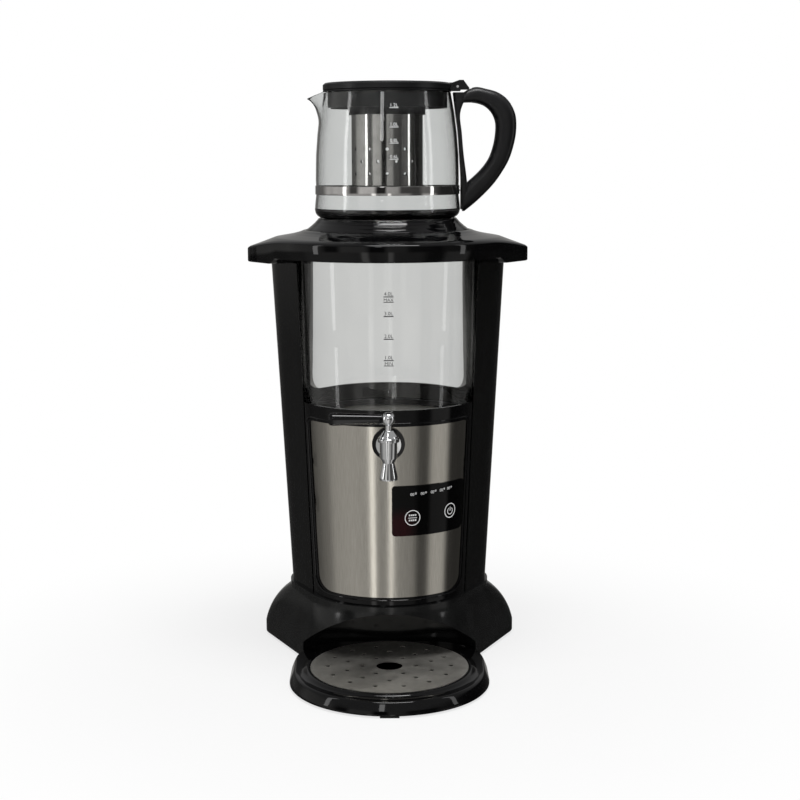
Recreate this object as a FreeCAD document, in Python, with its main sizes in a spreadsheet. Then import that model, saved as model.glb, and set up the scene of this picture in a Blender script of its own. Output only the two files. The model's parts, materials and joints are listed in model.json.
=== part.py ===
"""Automatic tea maker: a heated glass tank with a tap, and a glass teapot kept warm on its lid.

+Z is up, the front faces -Y and +X is right. The origin is the middle of the footprint, on the
surface that the machine stands on. Lengths are millimetres. Every piece is drawn about the
tank's axis, then moved back by axis_y with all the others.
"""
import FreeCAD, Part
import Sketcher
import math
import os

doc = FreeCAD.newDocument("TeaMaker")
sheet = doc.addObject("Spreadsheet::Sheet", "Sizes")

DRIVING = {
    # Base housing
    "foot_height": 3.0,
    "foot_radius": 9.0,
    "foot_side": 88.0,
    "foot_front": 8.0,
    "foot_back": 82.0,
    "screw_from_rear": 22.0,
    "screw_from_front": 26.0,
    "base_lip_height": 14.0,
    "base_nose_radius": 91.4,
    "base_lobe_radius": 37.0,
    "base_lobe_side": 96.0,
    "base_lobe_back": 71.0,
    "middle_height": 42.0,
    "middle_nose_radius": 89.5,
    "middle_lobe_radius": 48.0,
    "middle_lobe_side": 74.0,
    "middle_lobe_back": 54.0,
    "skirt_top": 65.0,
    "skirt_nose_radius": 85.5,
    "skirt_lobe_radius": 60.0,
    "skirt_lobe_side": 43.0,
    "skirt_lobe_back": 30.0,
    "plate_thickness": 2.0,
    "plate_inset": 7.0,
    # Drip tray
    "tray_centre": 98.0,
    "tray_radius": 97.5,
    "tray_draft": 4.5,
    "tray_side_back": 58.0,
    "tray_corner": 58.0,
    "tray_back": 5.0,
    "tray_bottom": 1.5,
    "tray_floor": 2.5,
    "dish_radius": 74.0,
    "pad_radius": 6.0,
    "tray_top": 14.0,
    "tray_clearance": 1.2,
    "tab_width": 18.0,
    "vault_radius": 107.0,
    "grate_radius": 77.0,
    "grate_thickness": 1.0,
    "grate_top": 17.5,
    "grate_fit": 0.4,
    "drain_radius": 12.8,
    "slot_radius": 2.4,
    # Body
    "body_bottom": 72.0,
    "notch_front": 50.0,
    "body_top": 405.0,
    "low_nose_radius": 82.0,
    "low_lobe_radius": 57.5,
    "low_lobe_side": 43.0,
    "low_lobe_back": 30.0,
    "high_nose_radius": 96.5,
    "high_lobe_radius": 68.5,
    "high_lobe_side": 50.0,
    "high_lobe_back": 34.5,
    "opening_low": 77.0,
    "opening_high": 89.0,
    "window_side": 86.0,
    "window_bottom": 278.0,
    "window_corner": 14.0,
    # Front
    "frame_top": 268.0,
    "front_start": 14.0,
    "frame_thickness": 3.0,
    "frame_fit": 0.3,
    "recess_depth": 1.2,
    "panel_thickness": 0.8,
    "panel_bottom": 81.0,
    "panel_top": 252.0,
    "panel_low_half": 70.0,
    "panel_high_half": 77.5,
    "panel_low_corner": 14.0,
    "panel_high_corner": 4.0,
    "panel_gap": 3.2,
    "panel_set_back": 0.4,
    "touch_left": 3.0,
    "touch_edge": 0.8,
    "touch_bottom": 143.5,
    "touch_top": 193.5,
    "touch_corner": 3.5,
    "touch_thickness": 1.0,
    # Tank
    "tank_bottom": 257.0,
    "tank_top": 413.0,
    "tank_low_radius": 86.0,
    "tank_high_radius": 92.6,
    "glass_wall": 3.0,
    "tank_fit": 0.5,
    "seat_bottom": 246.0,
    "seat_ledge": 6.0,
    "seat_lip_radius": 75.0,
    "seat_lip_top": 264.0,
    "seat_floor_drop": 6.0,
    "seat_ledge_width": 5.0,
    "seal_width": 2.6,
    "heater_plate_thickness": 1.5,
    "heater_plate_radius": 76.5,
    "element_radius": 50.0,
    "element_wire": 4.0,
    "seal_thickness": 1.5,
    "seat_shoulder": 0.4,
    # Tap
    "tap_reach": 128.0,
    "tap_height": 236.0,
    "tap_bore": 4.0,
    "tap_shank_radius": 6.5,
    "shank_start": 78.0,
    "tap_flange_radius": 12.0,
    "tap_barrel_radius": 8.2,
    "tap_barrel_top": 245.0,
    "tap_spout_bottom": 209.0,
    "tap_spout_radius": 8.6,
    "tap_spout_rim": 3.0,
    "tap_spout_neck": 16.0,
    "tap_neck_in": 2.6,
    "tap_barrel_skirt": 6.0,
    "flange_thickness": 3.5,
    "cap_height": 11.0,
    "cap_rim": 3.5,
    "cap_step": 1.2,
    "nut_radius": 11.0,
    "nut_thickness": 5.0,
    "escutcheon_radius": 15.8,
    "escutcheon_thickness": 3.0,
    "tap_cap_radius": 10.2,
    "ball_radius": 6.6,
    "ball_height": 266.5,
    "lever_length": 56.0,
    "lever_tip_radius": 6.1,
    "lever_root_radius": 4.4,
    "stem_radius": 3.0,
    "plug_bottom": 229.0,
    "running_fit": 0.06,
    "outlet_radius": 6.0,
    "outlet_wall": 2.0,
    "element_inset": 6.0,
    "element_end": 12.0,
    "element_end_gap": 8.0,
    "outlet_forward": 60.0,
    # Top collar
    "collar_bottom": 410.5,
    "collar_radius": 118.0,
    "ear_reach": 139.5,
    "ear_end_radius": 18.0,
    "ear_top": 420.0,
    "ear_bottom": 405.0,
    "collar_crown": 436.5,
    "collar_edge": 431.0,
    "collar_mouth": 81.0,
    "collar_shoulder_in": 7.0,
    "collar_shoulder_down": 2.3,
    "collar_wall": 3.0,
    # Tank lid
    "lid_groove": 0.6,
    "lid_depth": 3.4,
    "lid_ledge": 2.6,
    "lid_seat_radius": 67.0,
    "lid_rim_lift": 0.7,
    "lid_rim_width": 1.2,
    "lid_slope_in": 4.9,
    "lid_slope_up": 3.8,
    "lid_neck_in": 8.4,
    "lid_neck_up": 6.8,
    "vent_ring": 30.0,
    "lid_plug_depth": 12.0,
    "lid_vent_radius": 3.0,
    # Teapot
    "pot_foot": 447.0,
    "pot_foot_radius": 62.0,
    "pot_belly_radius": 72.0,
    "pot_belly_rise": 9.0,
    "pot_belly_bend": 10.0,
    "pot_shoulder_in": 1.2,
    "pot_shoulder_rise": 4.0,
    "pot_side_bend": 420.0,
    "pot_mouth_radius": 62.6,
    "pot_height": 123.0,
    "pot_glass_wall": 2.4,
    "pot_base_thickness": 6.0,
    "pot_lip_reach": 79.5,
    "pot_lip_start": 56.0,
    "pot_lip_half": 15.0,
    "pot_lip_root": 30.0,
    "pot_lip_end_half": 2.2,
    "pot_lip_end_depth": 4.0,
    "pot_lip_end_lift": 1.5,
    "pot_lip_drop": 8.0,
    "band_rise": 24.0,
    "band_height": 8.5,
    "band_radius": 71.4,
    "band_thickness": 0.8,
    "handle_width": 20.0,
    "pot_lid_radius": 63.0,
    "pot_lid_gap": 1.8,
    "pot_lid_thickness": 7.7,
    "skirt_radius": 59.2,
    "skirt_depth": 15.5,
    "deck_thickness": 2.2,
    "skirt_wall": 2.0,
    "lug_start": 58.0,
    "scoop_length": 22.0,
    "scoop_width": 34.0,
    "infuser_ring_radius": 37.7,
    "infuser_ring_depth": 22.0,
    "infuser_radius": 35.2,
    "infuser_wall": 0.6,
    "infuser_depth": 91.0,
    "infuser_hole": 1.6,
    "thumb_reach": 81.0,
    "thumb_width": 9.0,
    "thumb_rise": 11.5,
    "thumb_swing": 14.5,
    "slot_depth": 11.0,
    "hinge_reach": 69.0,
    "hinge_rise": 5.0,
    "pin_radius": 1.2,
    "knuckle_radius": 3.0,
    "lug_width": 4.0,
    "side_gap": 0.4,
    # Fasteners and inside parts
    "screw_radius": 1.5,
    "screw_head": 3.0,
    "screw_head_depth": 1.5,
    "screw_grip": 12.0,
    "board_thickness": 1.6,
    "board_length": 90.0,
    "board_width": 60.0,
    "board_lift": 6.0,
    "board_post": 3.0,
    "relay_side": 20.0,
    "transformer_side": 26.0,
    "can_radius": 5.0,
    "can_height": 18.0,
    "gland_radius": 7.0,
    "gland_height": 30.0,
    "gland_rim": 2.5,
    "gland_bore": 3.2,
    "gland_nose_radius": 5.5,
    "gland_collar": 5.0,
    "gland_reach": 8.0,
    "gland_set_back": 4.0,
    "gland_depth": 14.0,
}


class Size:
    """A number with the sheet formula that gives it, so that sums of sizes stay bound to the sheet."""

    def __init__(self, number, formula=None):
        self.number = float(number)
        self.formula = formula or "(" + str(float(number)) + ")"

    def joined(self, sign, other, number):
        return Size(number, "(" + self.formula + " " + sign + " " + other.formula + ")")

    def __add__(self, other):
        other = as_size(other)
        return self.joined("+", other, self.number + other.number)

    def __sub__(self, other):
        other = as_size(other)
        return self.joined("-", other, self.number - other.number)

    def __mul__(self, other):
        other = as_size(other)
        return self.joined("*", other, self.number * other.number)

    def __truediv__(self, other):
        other = as_size(other)
        return self.joined("/", other, self.number / other.number)

    def __radd__(self, other):
        return as_size(other) + self

    def __rsub__(self, other):
        return as_size(other) - self

    def __rmul__(self, other):
        return as_size(other) * self

    def __neg__(self):
        return Size(0) - self


def as_size(value):
    """A plain number becomes a size that nothing drives."""
    return value if isinstance(value, Size) else Size(value)


class Sizes:
    """Every driving dimension of the sheet by its name."""


size = Sizes()
for row, (name, number) in enumerate(DRIVING.items(), start=1):
    cell = "A" + str(row)
    sheet.set(cell, str(number))
    sheet.setAlias(cell, name)
    setattr(size, name, Size(number, "Sizes." + name))
doc.recompute()

size.pot_mouth = size.pot_foot + size.pot_height
size.pot_lip_height = size.pot_mouth - size.pot_lip_drop
size.band_bottom = size.pot_foot + size.band_rise
size.band_top = size.band_bottom + size.band_height
size.pot_lid_bottom = size.pot_mouth + size.pot_lid_gap
size.pot_lid_top = size.pot_lid_bottom + size.pot_lid_thickness
size.infuser_bottom = size.pot_mouth - size.infuser_depth
size.thumb_top = size.pot_mouth + size.thumb_rise
size.hinge_height = size.pot_mouth + size.hinge_rise
size.lid_rim_height = size.pot_foot + size.lid_rim_lift
front_reach = size.tray_centre + size.tray_radius
rear_wall = size.base_lobe_back + size.base_lobe_radius
back_reach = size.collar_radius
axis_y = (front_reach - back_reach) / 2


def bind(item, prop, value):
    """Ties one property of an object to the sheet."""
    item.setExpression(prop, as_size(value).formula)


def move(item, x=0, y=0, z=0):
    """Puts an object at a place that follows the sheet."""
    place = [as_size(value) for value in (x, y, z)]
    item.Placement.Base = FreeCAD.Vector(*[value.number for value in place])
    for letter, value in zip("xyz", place):
        bind(item, ".Placement.Base." + letter, value)
    return item


PARTS = []


def finish(item, label, x=0, y=0, z=0):
    """Names a sub-part after its piece and moves it back from the tank's axis to its place."""
    item.Label = label
    move(item, x, axis_y + y, z)
    PARTS.append(item)
    return item


def new_body(name):
    return doc.addObject("PartDesign::Body", name)


def new_sketch(body, plane, height=0):
    """A sketch on one of the body's own planes, lifted off it by a bound height."""
    sketch = body.newObject("Sketcher::SketchObject", body.Name + "Sketch")
    origin = [item for item in body.Origin.OriginFeatures if item.Role == plane][0]
    sketch.AttachmentSupport = [(origin, "")]
    sketch.MapMode = "FlatFace"
    height = as_size(height)
    sketch.AttachmentOffset = FreeCAD.Placement(FreeCAD.Vector(0, 0, height.number), FreeCAD.Rotation())
    bind(sketch, ".AttachmentOffset.Base.z", height)
    return sketch


def limit(sketch, kind, *where):
    """Adds one constraint; a size at its end drives it from the sheet."""
    value = where[-1]
    if not isinstance(value, Size):
        sketch.addConstraint(Sketcher.Constraint(kind, *where))
        return
    index = sketch.addConstraint(Sketcher.Constraint(kind, *where[:-1], value.number))
    if "Sizes." in value.formula:
        bind(sketch, "Constraints[" + str(index) + "]", value)


def pin_point(sketch, edge, end, x, y):
    """Fixes a point of an edge at its distances from the sketch's origin."""
    limit(sketch, "DistanceX", -1, 1, edge, end, as_size(x))
    limit(sketch, "DistanceY", -1, 1, edge, end, as_size(y))


def arc_through(start, end, radius, side):
    """The arc of a given radius between two points, bulging to the left (+1) or right (-1) of the way."""
    chord = end - start
    half = chord.Length / 2
    rise = math.sqrt(max(radius * radius - half * half, 0))
    left = FreeCAD.Vector(-chord.y, chord.x, 0).normalize()
    centre = (start + end) / 2 - left * side * rise
    middle = centre + left * side * radius
    return Part.Arc(start, middle, end)


def draw(sketch, path):
    """Draws a closed outline; a corner is (x, y), or (x, y, radius, side) where an arc leads to it."""
    corners = [(as_size(step[0]), as_size(step[1])) for step in path]
    points = [FreeCAD.Vector(x.number, y.number, 0) for x, y in corners]
    ends = []
    for index, step in enumerate(path):
        start, end = points[index - 1], points[index]
        if len(step) == 2:
            edge = sketch.addGeometry(Part.LineSegment(start, end))
            ends.append((edge, 1, 2))
            continue
        radius, side = as_size(step[2]), step[3]
        if side < 0:
            edge = sketch.addGeometry(arc_through(start, end, radius.number, side))
            ends.append((edge, 1, 2))
        else:
            edge = sketch.addGeometry(arc_through(end, start, radius.number, -side))
            ends.append((edge, 2, 1))
        limit(sketch, "Radius", edge, radius)
    for index, (edge, first, last) in enumerate(ends):
        before, before_first, before_last = ends[index - 1]
        limit(sketch, "Coincident", before, before_last, edge, first)
        pin_point(sketch, edge, last, *corners[index])


def rounded(left, bottom, right, top, low_radius, high_radius, low_left=None, low_right=None):
    """A four-sided outline with rounded corners; the lower corners may stand further in than the upper."""
    a, b = (left if low_left is None else low_left), (right if low_right is None else low_right)
    return [
        (a + low_radius, bottom, low_radius, -1), (b - low_radius, bottom),
        (b, bottom + low_radius, low_radius, -1), (right, top - high_radius),
        (right - high_radius, top, high_radius, -1), (left + high_radius, top),
        (left, top - high_radius, high_radius, -1), (a, bottom + low_radius),
    ]


def turned(name, path, angle=360):
    """A body revolved about Z from its section, given as (radius, height) corners."""
    body = new_body(name)
    sketch = new_sketch(body, "XZ_Plane")
    draw(sketch, path)
    turn = body.newObject("PartDesign::Revolution", name + "Turn")
    turn.Profile = sketch
    turn.ReferenceAxis = (sketch, ["V_Axis"])
    turn.Angle = angle
    return body


def padded(name, plane, outlines, start, length, both_ways=False):
    """A body pushed out from an outline on one of its planes."""
    body = new_body(name)
    sketch = new_sketch(body, plane, start)
    for path in outlines:
        draw(sketch, path)
    pad = body.newObject("PartDesign::Pad", name + "Pad")
    pad.Profile = sketch
    pad.Midplane = both_ways
    bind(pad, "Length", length)
    return body


def lobed_outline(sketch, nose, lobe, side, back):
    """The belt round a nose circle on the axis and two lobe circles behind it: three arcs and three lines."""
    sizes = [as_size(value) for value in (nose, lobe, side, back)]
    nose_r, lobe_r, side_x, back_y = [value.number for value in sizes]
    reach = math.hypot(side_x, back_y)
    turn = math.atan2(back_y, side_x) - math.acos((nose_r - lobe_r) / reach)
    normal = FreeCAD.Vector(math.cos(turn), math.sin(turn), 0)
    mirror = FreeCAD.Vector(-normal.x, normal.y, 0)
    nose_c = FreeCAD.Vector(0, 0, 0)
    right_c = FreeCAD.Vector(side_x, back_y, 0)
    left_c = FreeCAD.Vector(-side_x, back_y, 0)
    up = FreeCAD.Vector(0, 1, 0)
    right_face = FreeCAD.Vector(1, 0, 0)
    a = nose_c + mirror * nose_r
    b = nose_c + normal * nose_r
    c = right_c + normal * lobe_r
    d = right_c + up * lobe_r
    e = left_c + up * lobe_r
    f = left_c + mirror * lobe_r
    front = sketch.addGeometry(Part.Arc(a, FreeCAD.Vector(0, -nose_r, 0), b))
    right = sketch.addGeometry(Part.LineSegment(b, c))
    right_lobe = sketch.addGeometry(Part.Arc(c, right_c + right_face * lobe_r, d))
    rear = sketch.addGeometry(Part.LineSegment(d, e))
    left_lobe = sketch.addGeometry(Part.Arc(e, left_c - right_face * lobe_r, f))
    left = sketch.addGeometry(Part.LineSegment(f, a))
    loop = [front, right, right_lobe, rear, left_lobe, left]
    for edge, following in zip(loop, loop[1:] + loop[:1]):
        limit(sketch, "Tangent", edge, 2, following, 1)
    for arc, radius, x, y in ((front, sizes[0], 0, 0), (right_lobe, sizes[1], sizes[2], sizes[3]),
                              (left_lobe, sizes[1], -sizes[2], sizes[3])):
        limit(sketch, "Radius", arc, radius)
        pin_point(sketch, arc, 3, x, y)


def lobed_loft(name, sections, ruled=False):
    """A body lofted through lobed outlines, each given as its height and its four sizes."""
    body = new_body(name)
    sketches = []
    for height, sizes in sections:
        sketch = new_sketch(body, "XY_Plane", height)
        lobed_outline(sketch, *sizes)
        sketches.append(sketch)
    loft = body.newObject("PartDesign::AdditiveLoft", name + "Loft")
    loft.Profile = sketches[0]
    loft.Sections = sketches[1:]
    loft.Ruled = ruled
    return body


def cylinder(name, radius, height, x=0, y=0, z=0, turn=None):
    """A round bar along Z, or along another way where a turn is given."""
    item = doc.addObject("Part::Cylinder", name)
    bind(item, "Radius", radius)
    bind(item, "Height", height)
    if turn:
        item.Placement.Rotation = FreeCAD.Rotation(*turn)
    return move(item, x, y, z)


def block(name, length, width, height, x=0, y=0, z=0):
    """A box whose corner is at the given place."""
    item = doc.addObject("Part::Box", name)
    bind(item, "Length", length)
    bind(item, "Width", width)
    bind(item, "Height", height)
    return move(item, x, y, z)


def cone(name, low, high, bottom, top):
    """A solid cone about the tank's axis between two heights."""
    item = doc.addObject("Part::Cone", name)
    bind(item, "Radius1", low)
    bind(item, "Radius2", high)
    bind(item, "Height", top - bottom)
    return move(item, z=bottom)


def fuse(name, *items):
    joined = doc.addObject("Part::MultiFuse", name)
    joined.Shapes = list(items)
    joined.Refine = True
    return joined


def cut(name, item, *tools):
    """Takes the tools away from an item, fused into one first where there are several."""
    tool = tools[0] if len(tools) == 1 else fuse(name + "Tools", *tools)
    result = doc.addObject("Part::Cut", name)
    result.Base = item
    result.Tool = tool
    return result


def common(name, item, tool):
    result = doc.addObject("Part::Common", name)
    result.Base = item
    result.Tool = tool
    return result


TO_FRONT = (FreeCAD.Vector(1, 0, 0), 90)
TO_BACK = (FreeCAD.Vector(1, 0, 0), -90)
TO_LEFT = (FreeCAD.Vector(0, 1, 0), -90)
TO_RIGHT = (FreeCAD.Vector(0, 1, 0), 90)


def nose_at(height):
    """Radius of the body's front cone at a height."""
    share = (height - size.body_bottom) / (size.body_top - size.body_bottom)
    return size.low_nose_radius + share * (size.high_nose_radius - size.low_nose_radius)


def tank_at(height):
    """Outer radius of the glass tank at a height."""
    share = (height - size.tank_bottom) / (size.tank_top - size.tank_bottom)
    return size.tank_low_radius + share * (size.tank_high_radius - size.tank_low_radius)


def opening_at(height):
    """Half width of the front opening between the pillars at a height."""
    share = (height - size.body_bottom) / (size.body_top - size.body_bottom)
    return size.opening_low + share * (size.opening_high - size.opening_low)


def nose_cone(name, inset, bottom, top):
    return cone(name, nose_at(bottom) - inset, nose_at(top) - inset, bottom, top)


def tray_path(inset):
    """The tray's outline: a half circle in front, straight sides and two round corners under the body."""
    half = size.tray_radius - inset
    corner = size.tray_corner - inset
    return [
        (0, -size.tray_centre - half, half, -1), (half, -size.tray_centre, half, -1), (half, -size.tray_side_back),
        (half - corner, -size.tray_back - inset, corner, -1), (corner - half, -size.tray_back - inset),
        (-half, -size.tray_side_back, corner, -1), (-half, -size.tray_centre),
    ]


def tray_vault(name, gap):
    """The arched space under the body that the tray slides into, with a gap all round the tray."""
    height = size.skirt_top + 2
    plan = padded(name + "Plan", "XY_Plane", [tray_path(-gap)], 0, height)
    depth = size.tray_centre + size.tray_radius * 2
    arch = cylinder(name + "Arch", size.vault_radius + gap - size.tray_clearance, depth, 0, 0,
                    size.skirt_top - size.vault_radius, TO_FRONT)
    move(arch, 0, size.tray_clearance, size.skirt_top - size.vault_radius)
    return common(name, plan, arch)


FOOT_PLACES = [(side, back) for back in (size.foot_back, size.foot_front) for side in (1, -1)]


def foot_places():
    return [(size.foot_side * side, back) for side, back in FOOT_PLACES]


def base_housing():
    """Lobed skirt with a low upright wall, a collar under the body and the vault for the tray."""
    lip = (size.base_nose_radius, size.base_lobe_radius, size.base_lobe_side, size.base_lobe_back)
    middle = (size.middle_nose_radius, size.middle_lobe_radius, size.middle_lobe_side, size.middle_lobe_back)
    crown = (size.skirt_nose_radius, size.skirt_lobe_radius, size.skirt_lobe_side, size.skirt_lobe_back)
    wall = lobed_loft("BaseWall", [(size.foot_height, lip), (size.base_lip_height, lip)], True)
    skirt = lobed_loft("BaseSkirt", [(size.base_lip_height, lip), (size.middle_height, middle),
                                     (size.skirt_top, crown)])
    belt = lobed_loft("BaseBelt", [(size.skirt_top, crown), (size.body_bottom, crown)], True)
    whole = fuse("BaseWhole", wall, skirt, belt)
    recess = plate_blank("PlateRecess", -size.frame_fit)
    seat = rear_wall - size.gland_set_back
    entry = cylinder("GlandEntry", size.gland_radius, size.gland_depth, 0, seat, size.gland_height, TO_FRONT)
    sink = cylinder("GlandSink", size.gland_radius + size.gland_rim, size.gland_set_back + 1, 0, seat, size.gland_height,
                    TO_BACK)
    holes = [screw_hole("BaseScrewHole" + str(number), x, y, size.foot_height, size.screw_grip)
             for number, (x, y) in enumerate(base_screw_places())]
    housing = cut("BaseHousing", whole, tray_vault("Vault", size.tray_clearance), recess, entry, sink, *holes)
    return finish(housing, "base_housing")




def base_screw_places():
    return [(size.foot_side * side, y) for side in (1, -1) for y in (size.foot_back - size.screw_from_rear, size.foot_front + size.screw_from_front)]


def screw_hole(name, x, y, bottom, depth):
    return cylinder(name, size.screw_radius, depth, x, y, bottom)


def plate_blank(name, inset):
    """Outline of the base plate, drawn in from the housing's edge and kept clear of the vault."""
    edge = size.plate_inset + inset
    lip = (size.base_nose_radius - edge, size.base_lobe_radius - edge, size.base_lobe_side, size.base_lobe_back)
    top = size.foot_height + size.plate_thickness
    return lobed_loft(name, [(size.foot_height, lip), (top, lip)], True)


def base_plate():
    blank = plate_blank("PlateBlank", 0)
    vault = tray_vault("PlateVault", size.tray_clearance + 4)
    holes = [screw_hole("PlateHole" + str(number), x, y, size.foot_height, size.plate_thickness)
             for number, (x, y) in enumerate(base_screw_places())]
    return finish(cut("BasePlate", blank, vault, *holes), "base_plate")


def rubber_feet():
    feet = [cylinder("Foot" + str(number), size.foot_radius, size.foot_height, x, y, 0)
            for number, (x, y) in enumerate(foot_places())]
    return finish(fuse("RubberFeet", *feet), "rubber_feet")


def base_screws():
    """Four screws up through the plate into the housing, their heads under the plate."""
    screws = []
    for number, (x, y) in enumerate(base_screw_places()):
        shank = cylinder("BaseShank" + str(number), size.screw_radius, size.screw_grip, x, y, size.foot_height)
        head = cylinder("BaseHead" + str(number), size.screw_head, size.screw_head_depth, x, y,
                        size.foot_height - size.screw_head_depth)
        screws.append(fuse("BaseScrew" + str(number), shank, head))
    return finish(fuse("BaseScrews", *screws), "base_screws")




def cord_gland():
    """Round bush in the rear wall; the cord itself is left out."""
    flange = size.gland_radius + size.gland_rim
    path = [
        (size.gland_bore, -size.gland_depth), (size.gland_radius, -size.gland_depth), (size.gland_radius, 0), (flange, 0),
        (flange, size.gland_collar), (size.gland_nose_radius, size.gland_reach), (size.gland_bore, size.gland_reach),
    ]
    gland = turned("CordGland", path)
    gland.Placement.Rotation = FreeCAD.Rotation(*TO_BACK)
    return finish(gland, "cord_gland", 0, rear_wall - size.gland_set_back, size.gland_height)


def body_shell():
    """The two side pillars and the rear frame in one moulding, open in front and windowed behind."""
    low = (size.low_nose_radius, size.low_lobe_radius, size.low_lobe_side, size.low_lobe_back)
    high = (size.high_nose_radius, size.high_lobe_radius, size.high_lobe_side, size.high_lobe_back)
    whole = lobed_loft("BodyWhole", [(size.body_bottom, low), (size.body_top, high)], True)
    ledge = size.seat_bottom - size.seat_ledge
    room = nose_cone("MachineRoom", size.frame_thickness + 1, size.body_bottom, ledge)
    throat = cylinder("RoomThroat", size.seat_lip_radius + 4, size.seat_ledge, 0, 0, ledge)
    space = cone("TankSpace", tank_at(size.seat_bottom) + size.tank_fit, tank_at(size.body_top) + size.tank_fit,
                 size.seat_bottom, size.body_top)
    front = front_prism("FrontOpening", 0, size.body_bottom, size.body_top)
    window = padded("RearWindow", "XZ_Plane", [rounded(
        -size.window_side, size.window_bottom, size.window_side, size.body_top + size.window_corner * 2,
        size.window_corner, size.window_corner)], -150, 120)
    return finish(cut("BodyShell", whole, room, throat, space, front, window), "body_shell")


def front_prism(name, gap, bottom, top):
    """The wedge in front of the tank's axis that the front opening clears."""
    low, high = opening_at(bottom) - gap, opening_at(top) - gap
    return padded(name, "XZ_Plane", [[(low, bottom), (high, top), (-high, top), (-low, bottom)]],
                  size.front_start, 150)




def panel_prism(name, gap):
    """The steel panel's front view pushed through the front, grown by a gap."""
    low, high = size.panel_low_half + gap, size.panel_high_half + gap
    bottom, top = size.panel_bottom - gap, size.panel_top + gap
    path = rounded(-high, bottom, high, top, size.panel_low_corner + gap, size.panel_high_corner + gap, -low, low)
    return padded(name, "XZ_Plane", [path], size.front_start, 150)


def sheet_cone(name, outside, thickness, bottom, top):
    """A thin conical shell following the front, its outer face a distance inside the nose."""
    return cut(name, nose_cone(name + "Out", outside, bottom, top),
               nose_cone(name + "In", outside + thickness, bottom, top))


def front_frame():
    """Conical bezel between the pillars with a shallow recess for the steel panel and the tap's hole."""
    bottom, top = size.body_bottom, size.frame_top
    shell = sheet_cone("FrameShell", 0, size.frame_thickness, bottom, top)
    blank = common("FrameBlank", shell, front_prism("FramePrism", size.frame_fit, bottom, top))
    layer = sheet_cone("FrameLayer", -0.5, size.recess_depth + 0.5, bottom, top)
    recess = common("FrameRecess", layer, panel_prism("RecessPrism", size.frame_fit))
    groove_layer = sheet_cone("GrooveLayer", -0.5, 1.1, bottom, top)
    ring = cut("GrooveRing", panel_prism("GrooveOut", size.panel_gap + 0.6), panel_prism("GrooveIn", size.panel_gap - 0.6))
    groove = common("FrameGroove", groove_layer, ring)
    hole = tap_bore("FrameHole", size.tap_shank_radius + size.frame_fit)
    return finish(cut("FrontFrame", blank, recess, groove, hole), "front_frame")


def tap_bore(name, radius):
    """A bar along the tap's shank, through the front wall."""
    return cylinder(name, radius, 60, 0, -60, size.tap_height, TO_FRONT)




def steel_front_panel():
    bottom, top = size.panel_bottom - 1, size.panel_top + 1
    layer = sheet_cone("PanelLayer", size.panel_set_back, size.panel_thickness, bottom, top)
    blank = common("PanelBlank", layer, panel_prism("PanelPrism", 0))
    hole = tap_bore("PanelHole", size.tap_shank_radius + size.frame_fit)
    return finish(cut("SteelFrontPanel", blank, hole), "steel_front_panel")


def panel_half_at(height):
    """Half width of the steel panel at a height."""
    share = (height - size.panel_bottom) / (size.panel_top - size.panel_bottom)
    return size.panel_low_half + share * (size.panel_high_half - size.panel_low_half)


def touch_prism(name, gap):
    low, high = [panel_half_at(height) - size.touch_edge - gap for height in (size.touch_bottom, size.touch_top)]
    path = rounded(size.touch_left + gap, size.touch_bottom + gap, high, size.touch_top - gap, size.touch_corner,
                   size.touch_corner, None, low)
    return padded(name, "XZ_Plane", [path], size.front_start, 150)


def touch_panel():
    """Gloss touch glass on the steel panel; its keys are printed and don't travel."""
    thickness = size.touch_thickness
    layer = sheet_cone("TouchLayer", -thickness + size.panel_set_back, thickness, size.touch_bottom - 1, size.touch_top + 1)
    return finish(common("TouchPanel", layer, touch_prism("TouchPrism", 0)), "touch_panel")


def touch_board():
    """Flexible sensor sheet on the back of the frame, behind the touch panel."""
    layer = sheet_cone("BoardLayer", size.frame_thickness, size.board_thickness, size.touch_bottom, size.touch_top)
    return finish(common("TouchBoard", layer, touch_prism("BoardPrism", 4)), "touch_board")


def power_board():
    """Circuit board with a relay, a transformer and three capacitors on four posts over the base."""
    bottom = size.body_bottom + size.board_lift
    left, front = -size.board_length / 2, -size.board_width / 3
    card = block("PowerCard", size.board_length, size.board_width, size.board_thickness, left, front, bottom)
    top = bottom + size.board_thickness
    inset = size.board_post + size.board_thickness
    row = front + inset * 2
    relay = block("Relay", size.relay_side, size.relay_side, size.relay_side, left + inset, row, top)
    transformer = block("Transformer", size.transformer_side, size.transformer_side, size.transformer_side,
                        size.board_length / 10, row, top)
    right, back = left + size.board_length, front + size.board_width
    posts = [cylinder("Post" + str(n), size.board_post, size.board_lift, x, y, size.body_bottom)
             for n, (x, y) in enumerate([(left + inset, front + inset), (right - inset, front + inset),
                                         (left + inset, back - inset), (right - inset, back - inset)])]
    cans = [cylinder("Can" + str(n), size.can_radius, size.can_height, left + inset * 3 + size.can_radius * 3 * n,
                     back - inset * 2, top) for n in range(3)]
    return finish(fuse("PowerBoard", card, relay, transformer, *posts, *cans), "power_board")


def glass_tank():
    low, high, wall = size.tank_low_radius, size.tank_high_radius, size.glass_wall
    path = [(low - wall, size.tank_bottom), (low, size.tank_bottom), (high, size.tank_top),
            (high - wall, size.tank_top)]
    return finish(turned("GlassTank", path), "glass_tank")




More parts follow.
